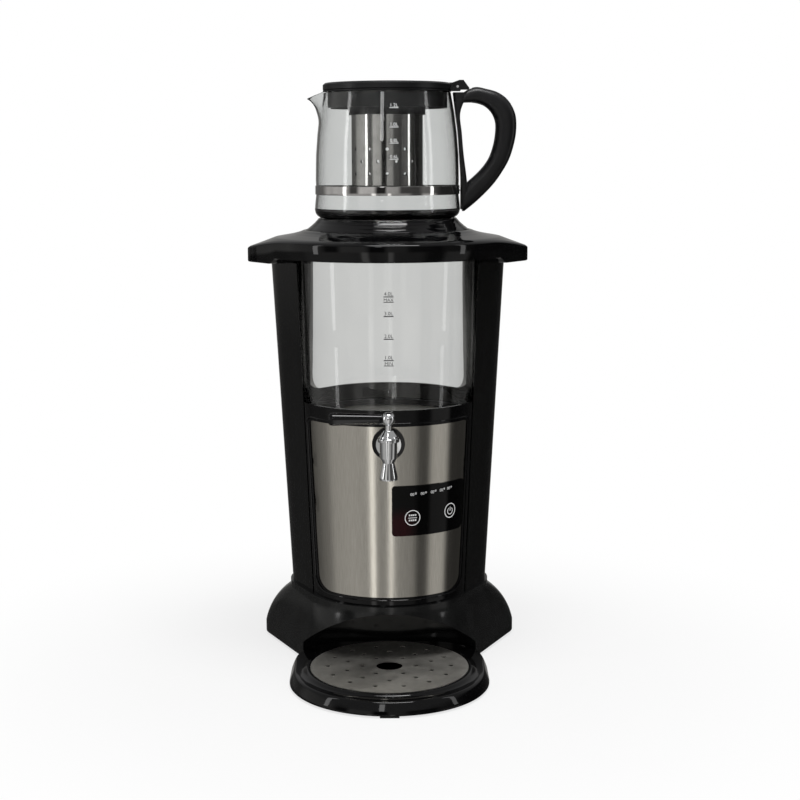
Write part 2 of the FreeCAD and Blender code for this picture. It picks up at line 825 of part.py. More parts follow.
def tank_seat():
    """Ring that carries the glass in its outer groove and the heater plate on its inner ledge."""
    outer = size.tank_low_radius - size.frame_fit
    shelf = size.tank_bottom - size.seal_thickness
    step = size.tank_low_radius - size.glass_wall - size.seat_shoulder
    ledge = size.seat_lip_top - size.seat_floor_drop
    path = [
        (size.heater_plate_radius - size.seat_ledge_width, size.seat_bottom), (outer, size.seat_bottom), (outer, shelf),
        (step, shelf), (step, size.seat_lip_top - size.glass_wall),
        (size.heater_plate_radius + size.seal_width, size.seat_lip_top),
        (size.heater_plate_radius + size.seat_shoulder, size.seat_lip_top), (size.heater_plate_radius + size.seat_shoulder, ledge),
        (size.heater_plate_radius - size.seat_ledge_width, ledge),
    ]
    return finish(turned("TankSeat", path), "tank_seat")


def tank_lower_seal():
    shelf = size.tank_bottom - size.seal_thickness
    inner = size.tank_low_radius - size.glass_wall
    path = [(inner, shelf), (inner + size.seal_width, shelf), (inner + size.seal_width, size.tank_bottom), (inner, size.tank_bottom)]
    return finish(turned("LowerSeal", path), "tank_lower_seal")


def tank_upper_seal():
    inner = size.tank_high_radius - size.glass_wall
    path = [(inner, size.tank_top), (inner + size.seal_width, size.tank_top),
            (inner + size.seal_width, size.tank_top + size.seal_thickness), (inner, size.tank_top + size.seal_thickness)]
    return finish(turned("UpperSeal", path), "tank_upper_seal")


def heater_plate():
    """Steel floor of the tank with the outlet hole to the tap."""
    bottom = size.seat_lip_top - size.seat_floor_drop
    disc = cylinder("FloorDisc", size.heater_plate_radius, size.heater_plate_thickness, 0, 0, bottom)
    hole = cylinder("FloorHole", size.outlet_radius - size.outlet_wall, size.outlet_radius, 0, -size.outlet_forward,
                    bottom - size.outlet_wall)
    return finish(cut("HeaterPlate", disc, hole), "heater_plate")




def heating_element():
    """Ring element brazed under the tank floor, with two cold ends."""
    bottom = size.seat_lip_top - size.seat_floor_drop
    ring = doc.addObject("Part::Torus", "ElementRing")
    bind(ring, "Radius1", size.element_radius - size.element_inset)
    bind(ring, "Radius2", size.element_wire)
    move(ring, 0, 0, bottom - size.element_wire)
    ends = [cylinder("ColdEnd" + str(n), size.element_wire - 1, size.element_end, size.element_end_gap * side,
                     size.element_radius - size.element_inset - 0.5, bottom - size.element_wire - size.element_end) for n, side in enumerate((1, -1))]
    return finish(fuse("HeatingElement", ring, *ends), "heating_element")


def thermostat():
    bottom = size.seat_lip_top - size.seat_floor_drop
    can = cylinder("ThermostatCan", 9, 10, 0, 0, bottom - 10)
    tabs = [block("ThermostatTab" + str(n), 1, 6, 8, 5 * side, -3, bottom - 18) for n, side in enumerate((0.8, -1))]
    return finish(fuse("Thermostat", can, *tabs), "thermostat")


def thermal_fuse():
    bottom = size.seat_lip_top - size.seat_floor_drop
    return finish(cylinder("ThermalFuse", 3, 22, -11, 24, bottom - 3, TO_RIGHT), "thermal_fuse", -11, 24, bottom - 3)


def outlet_elbow():
    """Elbow from the hole in the tank floor down and forward to the tap's shank."""
    top = size.seat_lip_top - size.seat_floor_drop
    bits = []
    for name, radius in (("Elbow", size.outlet_radius), ("ElbowBore", size.outlet_radius - size.outlet_wall)):
        drop = cylinder(name + "Drop", radius, top - size.tap_height, 0, -size.outlet_forward, size.tap_height)
        knee = doc.addObject("Part::Sphere", name + "Knee")
        bind(knee, "Radius", radius)
        move(knee, 0, -size.outlet_forward, size.tap_height)
        run = cylinder(name + "Run", radius, size.shank_start - size.outlet_forward, 0, -size.outlet_forward, size.tap_height, TO_FRONT)
        bits.append(fuse(name, drop, knee, run))
    return finish(cut("OutletElbow", *bits), "outlet_elbow")




def tap_nut():
    """Hexagon nut that clamps the tap's shank from inside the front frame."""
    path = [(size.nut_radius * math.cos(math.radians(60 * n)), size.nut_radius * math.sin(math.radians(60 * n)))
            for n in range(6)]
    hexagon = padded("NutHexagon", "XY_Plane", [path], 0, size.nut_thickness)
    bore = cylinder("NutBore", size.tap_shank_radius, size.nut_thickness)
    nut = cut("TapNut", hexagon, bore)
    nut.Placement.Rotation = FreeCAD.Rotation(*TO_FRONT)
    return finish(nut, "tap_nut", 0, -(nose_at(size.tap_height) - size.frame_thickness - size.nut_thickness - 1), size.tap_height)


def tap_escutcheon():
    """Black rosette whose back follows the curved front."""
    face = nose_at(size.tap_height) + size.escutcheon_thickness
    disc = cylinder("RosetteDisc", size.escutcheon_radius, 12, 0, -(face - 12), size.tap_height, TO_FRONT)
    wall = nose_cone("RosetteWall", size.panel_set_back, size.panel_bottom, size.frame_top)
    hole = cylinder("RosetteHole", size.tap_shank_radius, 40, 0, -70, size.tap_height, TO_FRONT)
    return finish(cut("TapEscutcheon", disc, wall, hole), "tap_escutcheon")


def tap_body():
    """Chrome tap: barrel with a flared spout, and a shank with a flange through the front."""
    bore = size.tap_bore + size.running_fit
    barrel = size.tap_barrel_radius
    path = [
        (0, size.tap_spout_bottom), (size.tap_spout_radius, size.tap_spout_bottom),
        (size.tap_spout_radius, size.tap_spout_bottom + size.tap_spout_rim),
        (barrel - size.tap_neck_in, size.tap_spout_bottom + size.tap_spout_neck),
        (barrel, size.tap_height - size.tap_barrel_skirt), (barrel, size.tap_barrel_top), (0, size.tap_barrel_top),
    ]
    column = turned("TapColumn", path)
    move(column, 0, -size.tap_reach, 0)
    face = nose_at(size.tap_height) + size.escutcheon_thickness
    shank = cylinder("TapShank", size.tap_shank_radius, size.tap_reach - size.shank_start, 0, -size.shank_start,
                     size.tap_height, TO_FRONT)
    flange = cylinder("TapFlange", size.tap_flange_radius, size.flange_thickness, 0, -face, size.tap_height, TO_FRONT)
    plug_bore = cylinder("PlugBore", bore, size.tap_barrel_top - size.plug_bottom + 1, 0, -size.tap_reach, size.plug_bottom)
    spout_bore = cylinder("SpoutBore", size.tap_bore - 0.6, 40, 0, -size.tap_reach, size.tap_spout_bottom - 1)
    way_in = cylinder("WayIn", size.tap_bore - 0.6, size.tap_reach - size.shank_start + 1, 0, -size.shank_start + 1,
                      size.tap_height, TO_FRONT)
    whole = fuse("TapWhole", column, shank, flange)
    return finish(cut("TapBody", whole, plug_bore, spout_bore, way_in), "tap_body")




def tap_cap():
    """Domed cap nut on the barrel, bored for the stem."""
    top = size.tap_barrel_top + size.cap_height
    bore = size.stem_radius + size.running_fit
    path = [
        (bore, size.tap_barrel_top), (size.tap_cap_radius, size.tap_barrel_top),
        (size.tap_cap_radius, size.tap_barrel_top + size.cap_rim),
        (size.tap_cap_radius - size.cap_step, size.tap_barrel_top + size.cap_rim + size.cap_step / 2),
        (bore + 0.8, top, size.tap_cap_radius + 1, -1), (bore, top),
    ]
    return finish(turned("TapCap", path), "tap_cap", 0, -size.tap_reach, 0)


def tap_plug():
    """Turning plug with its cross hole and the stem that the ball sits on."""
    path = [
        (0, size.plug_bottom + 0.5), (size.tap_bore, size.plug_bottom + 0.5), (size.tap_bore, size.tap_barrel_top - 1),
        (size.stem_radius, size.tap_barrel_top - 1), (size.stem_radius, size.ball_height - size.ball_radius + 2),
        (0, size.ball_height - size.ball_radius + 2),
    ]
    plug = turned("PlugBlank", path)
    way = cylinder("PlugWay", 2, 20, -10, 0, size.tap_height, TO_RIGHT)
    return finish(cut("TapPlug", plug, way), "tap_plug", 0, -size.tap_reach, 0)


def tap_ball():
    """Chrome ball on the stem; the lever screws into its side."""
    ball = doc.addObject("Part::Sphere", "BallWhole")
    bind(ball, "Radius", size.ball_radius)
    move(ball, 0, 0, size.ball_height)
    stem = cylinder("BallSocket", size.stem_radius, size.ball_radius + 2, 0, 0, size.ball_height - size.ball_radius * 2)
    move(stem, 0, 0, size.ball_height - size.ball_radius * 2)
    socket = cylinder("LeverSocket", 2, size.ball_radius + 1, 0, 0, size.ball_height, TO_LEFT)
    return finish(cut("TapBall", ball, stem, socket), "tap_ball", 0, -size.tap_reach, 0)


def tap_lever():
    """Black lever, thicker toward its round end, with a stud in the ball."""
    start = size.ball_radius - 0.3
    path = [
        (0, 0.5), (2, 0.5), (2, start), (size.lever_root_radius, start),
        (size.lever_tip_radius, size.lever_length - 2), (size.lever_tip_radius - 2, size.lever_length),
        (0, size.lever_length),
    ]
    lever = turned("TapLever", path)
    lever.Placement.Rotation = FreeCAD.Rotation(*TO_LEFT)
    return finish(lever, "tap_lever", 0, -size.tap_reach, size.ball_height)


def collar_cap(name):
    """Solid under the collar's curved top, which falls from the crown to the ends of the ears."""
    edge = size.collar_radius
    path = [
        (0, size.ear_bottom), (size.ear_reach + 2, size.ear_bottom), (size.ear_reach + 2, size.ear_top),
        (edge, size.collar_edge - 4), (edge - 6, size.collar_edge - 1), (edge - 16, size.collar_edge),
        (size.collar_mouth + size.collar_shoulder_in, size.collar_crown - size.collar_shoulder_down),
        (size.collar_mouth, size.collar_crown), (0, size.collar_crown),
    ]
    return turned(name, path)


def ear_outline(sketch):
    """The belt round the collar's circle and a small circle in each ear: four arcs and four lines."""
    big, small = size.collar_radius.number, size.ear_end_radius.number
    x = (size.ear_reach - size.ear_end_radius).number
    turn = math.acos((big - small) / x)
    near = FreeCAD.Vector(math.cos(turn), math.sin(turn), 0)
    quarter = [FreeCAD.Vector(sx * near.x, sy * near.y, 0) for sx, sy in ((1, -1), (1, 1), (-1, 1), (-1, -1))]
    right, left, middle = FreeCAD.Vector(x, 0, 0), FreeCAD.Vector(-x, 0, 0), FreeCAD.Vector()
    y = FreeCAD.Vector(0, 1, 0)
    ear_x = FreeCAD.Vector(1, 0, 0)
    front = sketch.addGeometry(Part.Arc(quarter[3] * big, y * -big, quarter[0] * big))
    line_a = sketch.addGeometry(Part.LineSegment(quarter[0] * big, right + quarter[0] * small))
    ear_a = sketch.addGeometry(Part.Arc(right + quarter[0] * small, right + ear_x * small, right + quarter[1] * small))
    line_b = sketch.addGeometry(Part.LineSegment(right + quarter[1] * small, quarter[1] * big))
    rear = sketch.addGeometry(Part.Arc(quarter[1] * big, y * big, quarter[2] * big))
    line_c = sketch.addGeometry(Part.LineSegment(quarter[2] * big, left + quarter[2] * small))
    ear_b = sketch.addGeometry(Part.Arc(left + quarter[2] * small, left - ear_x * small, left + quarter[3] * small))
    line_d = sketch.addGeometry(Part.LineSegment(left + quarter[3] * small, quarter[3] * big))
    loop = [front, line_a, ear_a, line_b, rear, line_c, ear_b, line_d]
    for edge, following in zip(loop, loop[1:] + loop[:1]):
        limit(sketch, "Tangent", edge, 2, following, 1)
    ear_centre = size.ear_reach - size.ear_end_radius
    for arc, radius, place in ((front, size.collar_radius, 0), (rear, size.collar_radius, 0),
                               (ear_a, size.ear_end_radius, ear_centre), (ear_b, size.ear_end_radius, -ear_centre)):
        limit(sketch, "Radius", arc, radius)
        pin_point(sketch, arc, 3, place, 0)


def top_collar():
    """Ring round the top of the tank with two carrying ears and the mouth for the tank lid."""
    body = new_body("CollarPlan")
    sketch = new_sketch(body, "XY_Plane", size.ear_bottom)
    ear_outline(sketch)
    pad = body.newObject("PartDesign::Pad", "CollarPad")
    pad.Profile = sketch
    bind(pad, "Length", size.collar_crown - size.ear_bottom)
    solid = common("CollarSolid", body, collar_cap("CollarCap"))
    notch = block("CollarNotch", size.collar_radius * 3, size.collar_radius, size.collar_bottom - size.ear_bottom,
                  size.collar_radius * -1.5, -size.collar_radius - size.notch_front, size.ear_bottom)
    pocket = cylinder("GlassPocket", size.tank_high_radius + size.tank_fit,
                      size.tank_top + size.seal_thickness - size.ear_bottom, 0, 0, size.ear_bottom)
    bore = cylinder("CollarBore", size.collar_mouth - size.lid_ledge, 60, 0, 0, size.ear_bottom)
    seat = cylinder("LidSeat", size.collar_mouth, 20, 0, 0, size.collar_crown - size.lid_depth)
    return finish(cut("TopCollar", solid, notch, pocket, bore, seat), "top_collar")




def tank_lid():
    """Low cone that closes the tank and holds the pot on a flat seat with steam holes."""
    outer = size.collar_mouth - size.lid_groove
    ledge = size.collar_crown - size.lid_depth
    plug = size.collar_mouth - size.lid_ledge - size.lid_groove
    under = size.pot_foot - size.collar_wall
    path = [
        (0, under), (size.lid_seat_radius - 3, under), (plug - size.collar_wall, ledge),
        (plug - size.collar_wall, ledge - size.lid_plug_depth), (plug, ledge - size.lid_plug_depth), (plug, ledge),
        (outer, ledge), (outer, size.collar_crown), (outer - size.lid_slope_in, size.collar_crown + size.lid_slope_up),
        (outer - size.lid_neck_in, size.collar_crown + size.lid_neck_up),
        (size.lid_seat_radius + size.lid_rim_width, size.lid_rim_height), (size.lid_seat_radius, size.lid_rim_height),
        (size.lid_seat_radius - 0.4, size.pot_foot), (0, size.pot_foot),
    ]
    blank = turned("LidBlank", path)
    vents = [cylinder("Vent" + str(n), size.lid_vent_radius, size.lid_plug_depth, size.vent_ring * math.cos(n * math.pi / 3),
                      size.vent_ring * math.sin(n * math.pi / 3), under - size.collar_wall) for n in range(6)]
    return finish(cut("TankLid", blank, *vents), "tank_lid")


def lid_gasket():
    """Soft ring in the plug of the tank lid."""
    plug = size.collar_mouth - size.lid_ledge - size.lid_groove
    low = size.collar_crown - size.lid_depth - size.lid_plug_depth
    path = [(plug - size.collar_wall, low - 2), (plug, low - 2), (plug, low), (plug - size.collar_wall, low)]
    return finish(turned("LidGasket", path), "lid_gasket")


def pot_wall(name, inset, bottom):
    """The pot's round body drawn in by an inset, from a floor height to its mouth."""
    foot, belly, mouth = size.pot_foot_radius, size.pot_belly_radius, size.pot_mouth_radius
    waist = size.band_radius - size.band_thickness
    path = [
        (0, bottom), (foot - inset, bottom), (belly - inset, bottom + size.pot_belly_rise, size.pot_belly_bend, -1),
        (waist - inset, size.band_bottom - size.band_thickness),
        (waist - inset, size.band_top + size.band_thickness),
        (belly - inset - size.pot_shoulder_in, size.band_top + size.pot_shoulder_rise),
        (mouth - inset, size.pot_mouth, size.pot_side_bend, -1), (0, size.pot_mouth),
    ]
    return turned(name, path)


def lip_wedge(name, inset, rise):
    """The pouring lip: a V-section tapering from the wall out to the tip."""
    body = new_body(name)
    sketches = []
    tip = size.pot_lip_reach - inset * 2
    for number, (x, half, low, high) in enumerate((
            (size.pot_lip_start, size.pot_lip_half, size.pot_mouth - size.pot_lip_root, size.pot_mouth + rise),
            (tip, size.pot_lip_end_half, size.pot_lip_height - size.pot_lip_end_depth,
             size.pot_lip_height + size.pot_lip_end_lift + rise))):
        sketch = new_sketch(body, "YZ_Plane", -as_size(x))
        draw(sketch, [(0, low + inset * 1.5), (half - inset, high), (inset - half, high)])
        sketches.append(sketch)
    loft = body.newObject("PartDesign::AdditiveLoft", name + "Loft")
    loft.Profile = sketches[0]
    loft.Sections = sketches[1:]
    loft.Ruled = True
    return body


def pot_glass():
    """Glass pot with a thick floor, a waist for the band and a pouring lip."""
    outer = fuse("PotOuter", pot_wall("PotSkin", 0, size.pot_foot), lip_wedge("LipSkin", 0, 0))
    inner = fuse("PotInner", pot_wall("PotCavity", size.pot_glass_wall, size.pot_foot + size.pot_base_thickness),
                 lip_wedge("LipCavity", size.pot_glass_wall * 0.7, size.pot_lip_end_depth))
    mouth = cylinder("PotMouth", size.pot_mouth_radius - size.pot_glass_wall, size.pot_glass_wall * 2,
                     0, 0, size.pot_mouth - size.pot_glass_wall)
    return finish(cut("PotGlass", outer, inner, mouth), "pot_glass")


def pot_band():
    inner = size.band_radius - size.band_thickness
    path = [(inner, size.band_bottom), (size.band_radius, size.band_bottom), (size.band_radius, size.band_top),
            (inner, size.band_top)]
    return finish(turned("PotBand", path), "pot_band")


DRAWN_BELLY, DRAWN_HEIGHT = 72.0, 123.0


def handle_path(*corners):
    """Corners drawn for a pot of the drawn belly and height, as (out, up) from its foot, sized to this pot."""
    out, up = size.pot_belly_radius / DRAWN_BELLY, size.pot_height / DRAWN_HEIGHT
    path = []
    for corner in corners:
        place = (corner[0] * out, size.pot_foot + corner[1] * up)
        path.append(place + ((corner[2] * out, corner[3]) if len(corner) > 2 else ()))
    return path


def pot_handle():
    """D-shaped handle with a strip down the glass, slotted at the top for the lid's thumb tab."""
    outer = handle_path(
        (64.4, 122.6), (69.4, 83), (72.3, 40), (72.3, 9), (75, 5.4), (91, 18.5), (105.7, 34), (127.5, 90, 96, -1),
        (97, 126, 37, -1), (86, 128.2), (81.5, 122.6))
    inner = handle_path(
        (78.3, 35), (76.4, 48), (74.2, 73), (71.9, 98), (71.4, 109), (74, 112.3), (84, 112.3), (106.6, 88, 25, 1),
        (94, 51.5, 74, 1))
    blank = padded("HandleBlank", "XZ_Plane", [outer, inner], 0, size.handle_width, True)
    width = size.thumb_width + size.side_gap * 4
    start = size.pot_mouth_radius - size.side_gap
    slot = block("HandleSlot", size.hinge_reach + size.thumb_swing - start, width, size.handle_width, start,
                 width / -2, size.pot_mouth - size.slot_depth)
    screw = clamp_hole("HandleScrewHole")
    return finish(cut("PotHandle", blank, slot, screw), "pot_handle")


def clamp_screw():
    """Screw that draws the steel band into the handle's strip."""
    return finish(clamp_hole("ClampShank"), "clamp_screw", size.band_radius, 0, CLAMP_HEIGHT)


CLAMP_HEIGHT = (size.band_bottom + size.band_top) / 2


def clamp_hole(name):
    return cylinder(name, size.screw_radius, 6, size.band_radius, 0, CLAMP_HEIGHT, TO_RIGHT)


def mouth_collar():
    """Black mouth ring with a skirt inside the glass, a deck round the infuser and two hinge lugs."""
    top = size.pot_lid_bottom - size.side_gap
    deck = size.pot_mouth + 0.2
    skirt, ring = size.skirt_radius, size.infuser_ring_radius
    path = [
        (ring, deck - size.deck_thickness), (skirt - size.skirt_wall, deck - size.deck_thickness),
        (skirt - size.skirt_wall, size.pot_mouth - size.skirt_depth),
        (skirt, size.pot_mouth - size.skirt_depth), (skirt, deck), (size.pot_lid_radius, deck),
        (size.pot_lid_radius, top), (ring, top),
    ]
    blank = turned("MouthBlank", path)
    scoop = block("PourScoop", size.scoop_length, size.scoop_width, size.pot_lip_root, -size.skirt_radius - size.side_gap,
                  -size.scoop_width / 2, size.pot_mouth - size.pot_lip_root + size.pot_lip_end_depth)
    lugs = []
    holes = []
    for n, side in enumerate((1, -1)):
        near = size.thumb_width / 2 + size.side_gap
        start = near if side > 0 else -near - size.lug_width
        foot = block("LugFoot" + str(n), size.hinge_reach - size.lug_start + size.knuckle_radius, size.lug_width,
                     size.hinge_height - top + size.side_gap, size.lug_start, start, top - size.side_gap)
        eye = cylinder("LugEye" + str(n), size.knuckle_radius, size.lug_width, size.hinge_reach,
                       start + size.lug_width, size.hinge_height, TO_FRONT)
        lugs.append(fuse("Lug" + str(n), foot, eye))
        holes.append(cylinder("LugHole" + str(n), size.pin_radius, 30, size.hinge_reach, 15, size.hinge_height,
                              TO_FRONT))
    whole = fuse("MouthWhole", blank, *lugs)
    return finish(cut("MouthCollar", whole, scoop, holes[0]), "mouth_collar")


def infuser_ring():
    """Black ring that hangs the steel basket from the deck of the mouth collar."""
    outer, inner = size.infuser_ring_radius, size.infuser_radius
    top, low = size.pot_lid_bottom - size.side_gap, size.pot_mouth - size.infuser_ring_depth
    path = [(inner, low), (outer, low), (outer, top), (inner - 2, top), (inner - 2, top - 2), (inner, top - 2)]
    return finish(turned("InfuserRing", path), "infuser_ring")


def infuser_basket():
    """Thin steel cup with rows of fine holes round its wall."""
    outer, wall = size.infuser_radius, size.infuser_wall
    top, low = size.pot_lid_bottom - size.side_gap - 2, size.infuser_bottom
    path = [(0, low), (outer, low), (outer, top), (outer - wall, top), (outer - wall, low + wall), (0, low + wall)]
    cup = turned("BasketCup", path)
    holes = []
    for row in range(3):
        for n in range(6):
            angle = 30 * (2 * n + row % 2) / 2
            holes.append(cylinder("BasketHole" + str(row) + "x" + str(n), size.infuser_hole, 90, 0, 0,
                                  low + 12 + 12 * row))
            turn = FreeCAD.Rotation(FreeCAD.Vector(0, 0, 1), angle) * FreeCAD.Rotation(FreeCAD.Vector(0, 1, 0), 90)
            holes[-1].Placement.Rotation = turn
            start = turn.multVec(FreeCAD.Vector(0, 0, -45))
            move(holes[-1], start.x, start.y, low + 12 + 12 * row)
    return finish(cut("InfuserBasket", cup, *holes), "infuser_basket")


def pot_lid():
    """Low domed lid with a knuckle and a thumb tab that stands up behind the hinge."""
    low, top, radius = size.pot_lid_bottom, size.pot_lid_top, size.pot_lid_radius
    disc = turned("LidDisc", [(0, low), (radius - 0.5, low), (radius, low + 0.5), (radius, top - 2.5),
                              (radius - 2, top - 0.8), (radius - 12, top - 0.3), (radius / 2, top), (0, top)])
    gap = size.side_gap
    near = size.thumb_width / 2
    notches = []
    for n, start in enumerate((near, -near - size.lug_width - 2 * gap)):
        notches.append(block("LidNotch" + str(n), 14, size.lug_width + 2 * gap, 20, 57, start, low - 1))
    disc = cut("LidNotched", disc, *notches)
    tab = padded("ThumbTab", "XZ_Plane", [[(56, low + 0.4), (size.thumb_reach - 1, low + 0.4),
                                           (size.thumb_reach, low + 1.6), (75, size.thumb_top),
                                           (71, size.thumb_top), (64, top - 0.5), (56, top - 0.5)]],
                 0, size.thumb_width - 2 * gap, True)
    hole = cylinder("LidPinHole", size.pin_radius + size.running_fit, 30, size.hinge_reach, 15, size.hinge_height,
                    TO_FRONT)
    return finish(cut("PotLid", fuse("LidWhole", disc, tab), hole), "pot_lid")


def hinge_pin():
    length = size.thumb_width + 2 * size.side_gap + 2 * size.lug_width
    pin = cylinder("HingePin", size.pin_radius, length)
    pin.Placement.Rotation = FreeCAD.Rotation(*TO_FRONT)
    return finish(pin, "hinge_pin", size.hinge_reach, length / 2, size.hinge_height)


def drip_tray():
    """Round-nosed tray with a raised rim round the grate, a dish and straight sides."""
    body = new_body("TrayBlank")
    sketches = []
    for height, inset in ((size.tray_bottom, 0), (size.tray_top, size.tray_draft)):
        sketch = new_sketch(body, "XY_Plane", height)
        draw(sketch, tray_path(inset))
        sketches.append(sketch)
    loft = body.newObject("PartDesign::AdditiveLoft", "TrayLoft")
    loft.Profile = sketches[0]
    loft.Sections = sketches[1:]
    loft.Ruled = True
    inner = size.grate_radius + size.grate_fit
    edge = size.tray_radius - size.tray_draft - 2
    rim = turned("TrayRim", [(size.dish_radius, size.tray_top - 3), (edge, size.tray_top - 3), (edge, size.tray_top),
                             (inner + 3, size.grate_top - 0.2), (size.dish_radius, size.grate_top - 0.2)])
    move(rim, 0, -size.tray_centre, 0)
    dish = cylinder("TrayDish", size.dish_radius, 30, 0, -size.tray_centre, size.tray_bottom + size.tray_floor)
    ledge = cylinder("TrayLedge", inner, 30, 0, -size.tray_centre, size.grate_top - size.grate_thickness)
    return finish(cut("DripTray", fuse("TrayWhole", body, rim), dish, ledge), "drip_tray")


def tray_feet():
    """Front tab foot and two rear pads that keep the tray off the table."""
    front = size.tray_centre + size.tray_radius
    tab = block("FrontTab", size.tab_width, 12, size.tray_bottom, size.tab_width / -2, 1 - front, 0)
    pads = [cylinder("TrayPad" + str(n), size.pad_radius, size.tray_bottom, 55 * side, -30, 0)
            for n, side in enumerate((1, -1))]
    return finish(fuse("TrayFeet", tab, *pads), "tray_feet")


def drip_grate():
    """Flat steel disc with a drain hole and rings of small holes."""
    low = size.grate_top - size.grate_thickness
    disc = cylinder("GrateDisc", size.grate_radius, size.grate_thickness, 0, 0, low)
    holes = [cylinder("GrateDrain", size.drain_radius, 10, 0, 0, low - 2)]
    for ring, (count, radius) in enumerate(((6, 26), (10, 43), (14, 60))):
        for n in range(count):
            angle = 2 * math.pi * (n + 0.5 * (ring % 2)) / count
            holes.append(cylinder("GrateHole" + str(ring) + "x" + str(n), size.slot_radius, 10,
                                  radius * math.cos(angle), radius * math.sin(angle), low - 2))
    return finish(cut("DripGrate", disc, *holes), "drip_grate", 0, -size.tray_centre, 0)


def main():
    for build in (base_housing, base_plate, rubber_feet, base_screws, cord_gland, body_shell, front_frame,
                  steel_front_panel, touch_panel, touch_board, power_board, glass_tank, tank_seat,
                  tank_lower_seal, tank_upper_seal, heater_plate, heating_element, thermostat, thermal_fuse,
                  outlet_elbow, tap_nut, tap_escutcheon, tap_body, tap_cap, tap_plug, tap_ball, tap_lever,
                  top_collar, tank_lid, lid_gasket, pot_glass, pot_band, pot_handle, clamp_screw, mouth_collar,
                  infuser_ring, infuser_basket, pot_lid, hinge_pin, drip_tray, tray_feet, drip_grate):
        build()
    doc.recompute()
    broken = [item.Name for item in doc.Objects if "Invalid" in item.State or "Error" in item.State]
    bad = [item.Label for item in PARTS if item.Shape.isNull() or not item.Shape.isValid()]
    if broken or bad:
        raise RuntimeError("These objects failed: " + ", ".join(broken + bad))
    os.makedirs("parts", exist_ok=True)
    for item in PARTS:
        item.Shape.exportStep("parts/" + item.Label + ".step")
        print(item.Label, len(item.Shape.Solids), "solids", round(item.Shape.Volume))


main()
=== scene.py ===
# %% [markdown]
# An automatic tea maker: a heated glass tank between two gloss black pillars, a chrome tap over a
# drip tray, and a glass teapot that keeps warm on the tank's lid. The frame brings every solid of
# the machine in metres. This script gives those solids smooth skins, adds the shapes that a mould or
# a glass maker would round, and paints each finish with nodes.

# %% Load the frame
import json
import math

import bmesh
import bpy
import numpy as np
from mathutils import Matrix, Vector


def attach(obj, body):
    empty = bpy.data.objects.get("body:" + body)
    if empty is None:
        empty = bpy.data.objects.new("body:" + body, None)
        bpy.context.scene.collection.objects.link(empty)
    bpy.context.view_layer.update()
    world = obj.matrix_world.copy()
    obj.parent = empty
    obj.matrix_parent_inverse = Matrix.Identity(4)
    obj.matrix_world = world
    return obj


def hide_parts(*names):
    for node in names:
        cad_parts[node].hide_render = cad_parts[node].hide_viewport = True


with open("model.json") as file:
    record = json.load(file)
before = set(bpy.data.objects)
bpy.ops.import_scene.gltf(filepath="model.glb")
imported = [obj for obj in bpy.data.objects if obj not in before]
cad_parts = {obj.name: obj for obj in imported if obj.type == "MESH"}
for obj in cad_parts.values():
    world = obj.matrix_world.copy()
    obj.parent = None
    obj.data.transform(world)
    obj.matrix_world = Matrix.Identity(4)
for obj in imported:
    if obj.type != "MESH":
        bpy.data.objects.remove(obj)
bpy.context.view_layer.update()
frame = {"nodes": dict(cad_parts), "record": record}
MM = 0.001


AXIS_Y = 38.75
BODY_OF = {node: body for body, nodes in frame["record"]["behaviour"]["bodies"].items() for node in nodes}

# %% [markdown]
# A mesh can be typed in point by point, but a surface that is worked out as a grid stays exact and is
# short to write: every row of the grid is one step along a profile, every column one step round.

# %% Grids of points become meshes
SMOOTH_ANGLE = math.radians(32)


def add_object(name, mesh, material, body, replaced=()):
    """Puts a mesh on its body under a name and hides the solids it stands for."""
    piece = bpy.data.objects.new(name, mesh)
    bpy.context.scene.collection.objects.link(piece)
    mesh.materials.clear()
    mesh.materials.append(material)
    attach(piece, body)
    if replaced:
        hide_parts(*replaced)
    print("made", name, "on", body)
    return piece


def clean_and_smooth(mesh, merge, shortest):
    """Merges close points, drops edges of no length, turns faces outwards, smooths all but hard edges."""
    work = bmesh.new()
    work.from_mesh(mesh)
    bmesh.ops.remove_doubles(work, verts=work.verts, dist=merge)
    bmesh.ops.dissolve_degenerate(work, edges=work.edges, dist=shortest)
    bmesh.ops.recalc_face_normals(work, faces=work.faces)
    work.to_mesh(mesh)
    work.free()
    for layer in list(mesh.attributes):
        if layer.name in ("custom_normal", "sharp_edge"):
            mesh.attributes.remove(layer)
    mesh.shade_smooth()
    mesh.set_sharp_from_angle(angle=SMOOTH_ANGLE)
    return mesh


def finish_mesh(name, points, faces):
    """A clean mesh from points in millimetres and lists of their numbers."""
    mesh = bpy.data.meshes.new(name)
    mesh.from_pydata((np.asarray(points) * MM).tolist(), [], faces)
    return clean_and_smooth(mesh, merge=2e-6, shortest=1e-7)


def grid_faces(rows, columns, wrap_rows, wrap_columns):
    """Corner numbers of each cell: (r, c), (r, c+1), (r+1, c+1), (r+1, c), counted round where it wraps."""
    r = np.arange(rows if wrap_rows else rows - 1)
    c = np.arange(columns if wrap_columns else columns - 1)
    r, c = [side.ravel() for side in np.meshgrid(r, c, indexing="ij")]
    down, over = (r + 1) % rows, (c + 1) % columns
    return np.stack([r * columns + c, r * columns + over, down * columns + over, down * columns + c], 1)


def surface(name, grid, wrap_rows=True, wrap_columns=True):
    """A mesh from a grid of points of shape (rows, columns, 3), in millimetres about the tank's axis."""
    grid = np.array(grid, float)
    grid[..., 1] += AXIS_Y
    rows, columns = grid.shape[:2]
    faces = grid_faces(rows, columns, wrap_rows, wrap_columns)
    return finish_mesh(name, grid.reshape(-1, 3), faces.tolist())


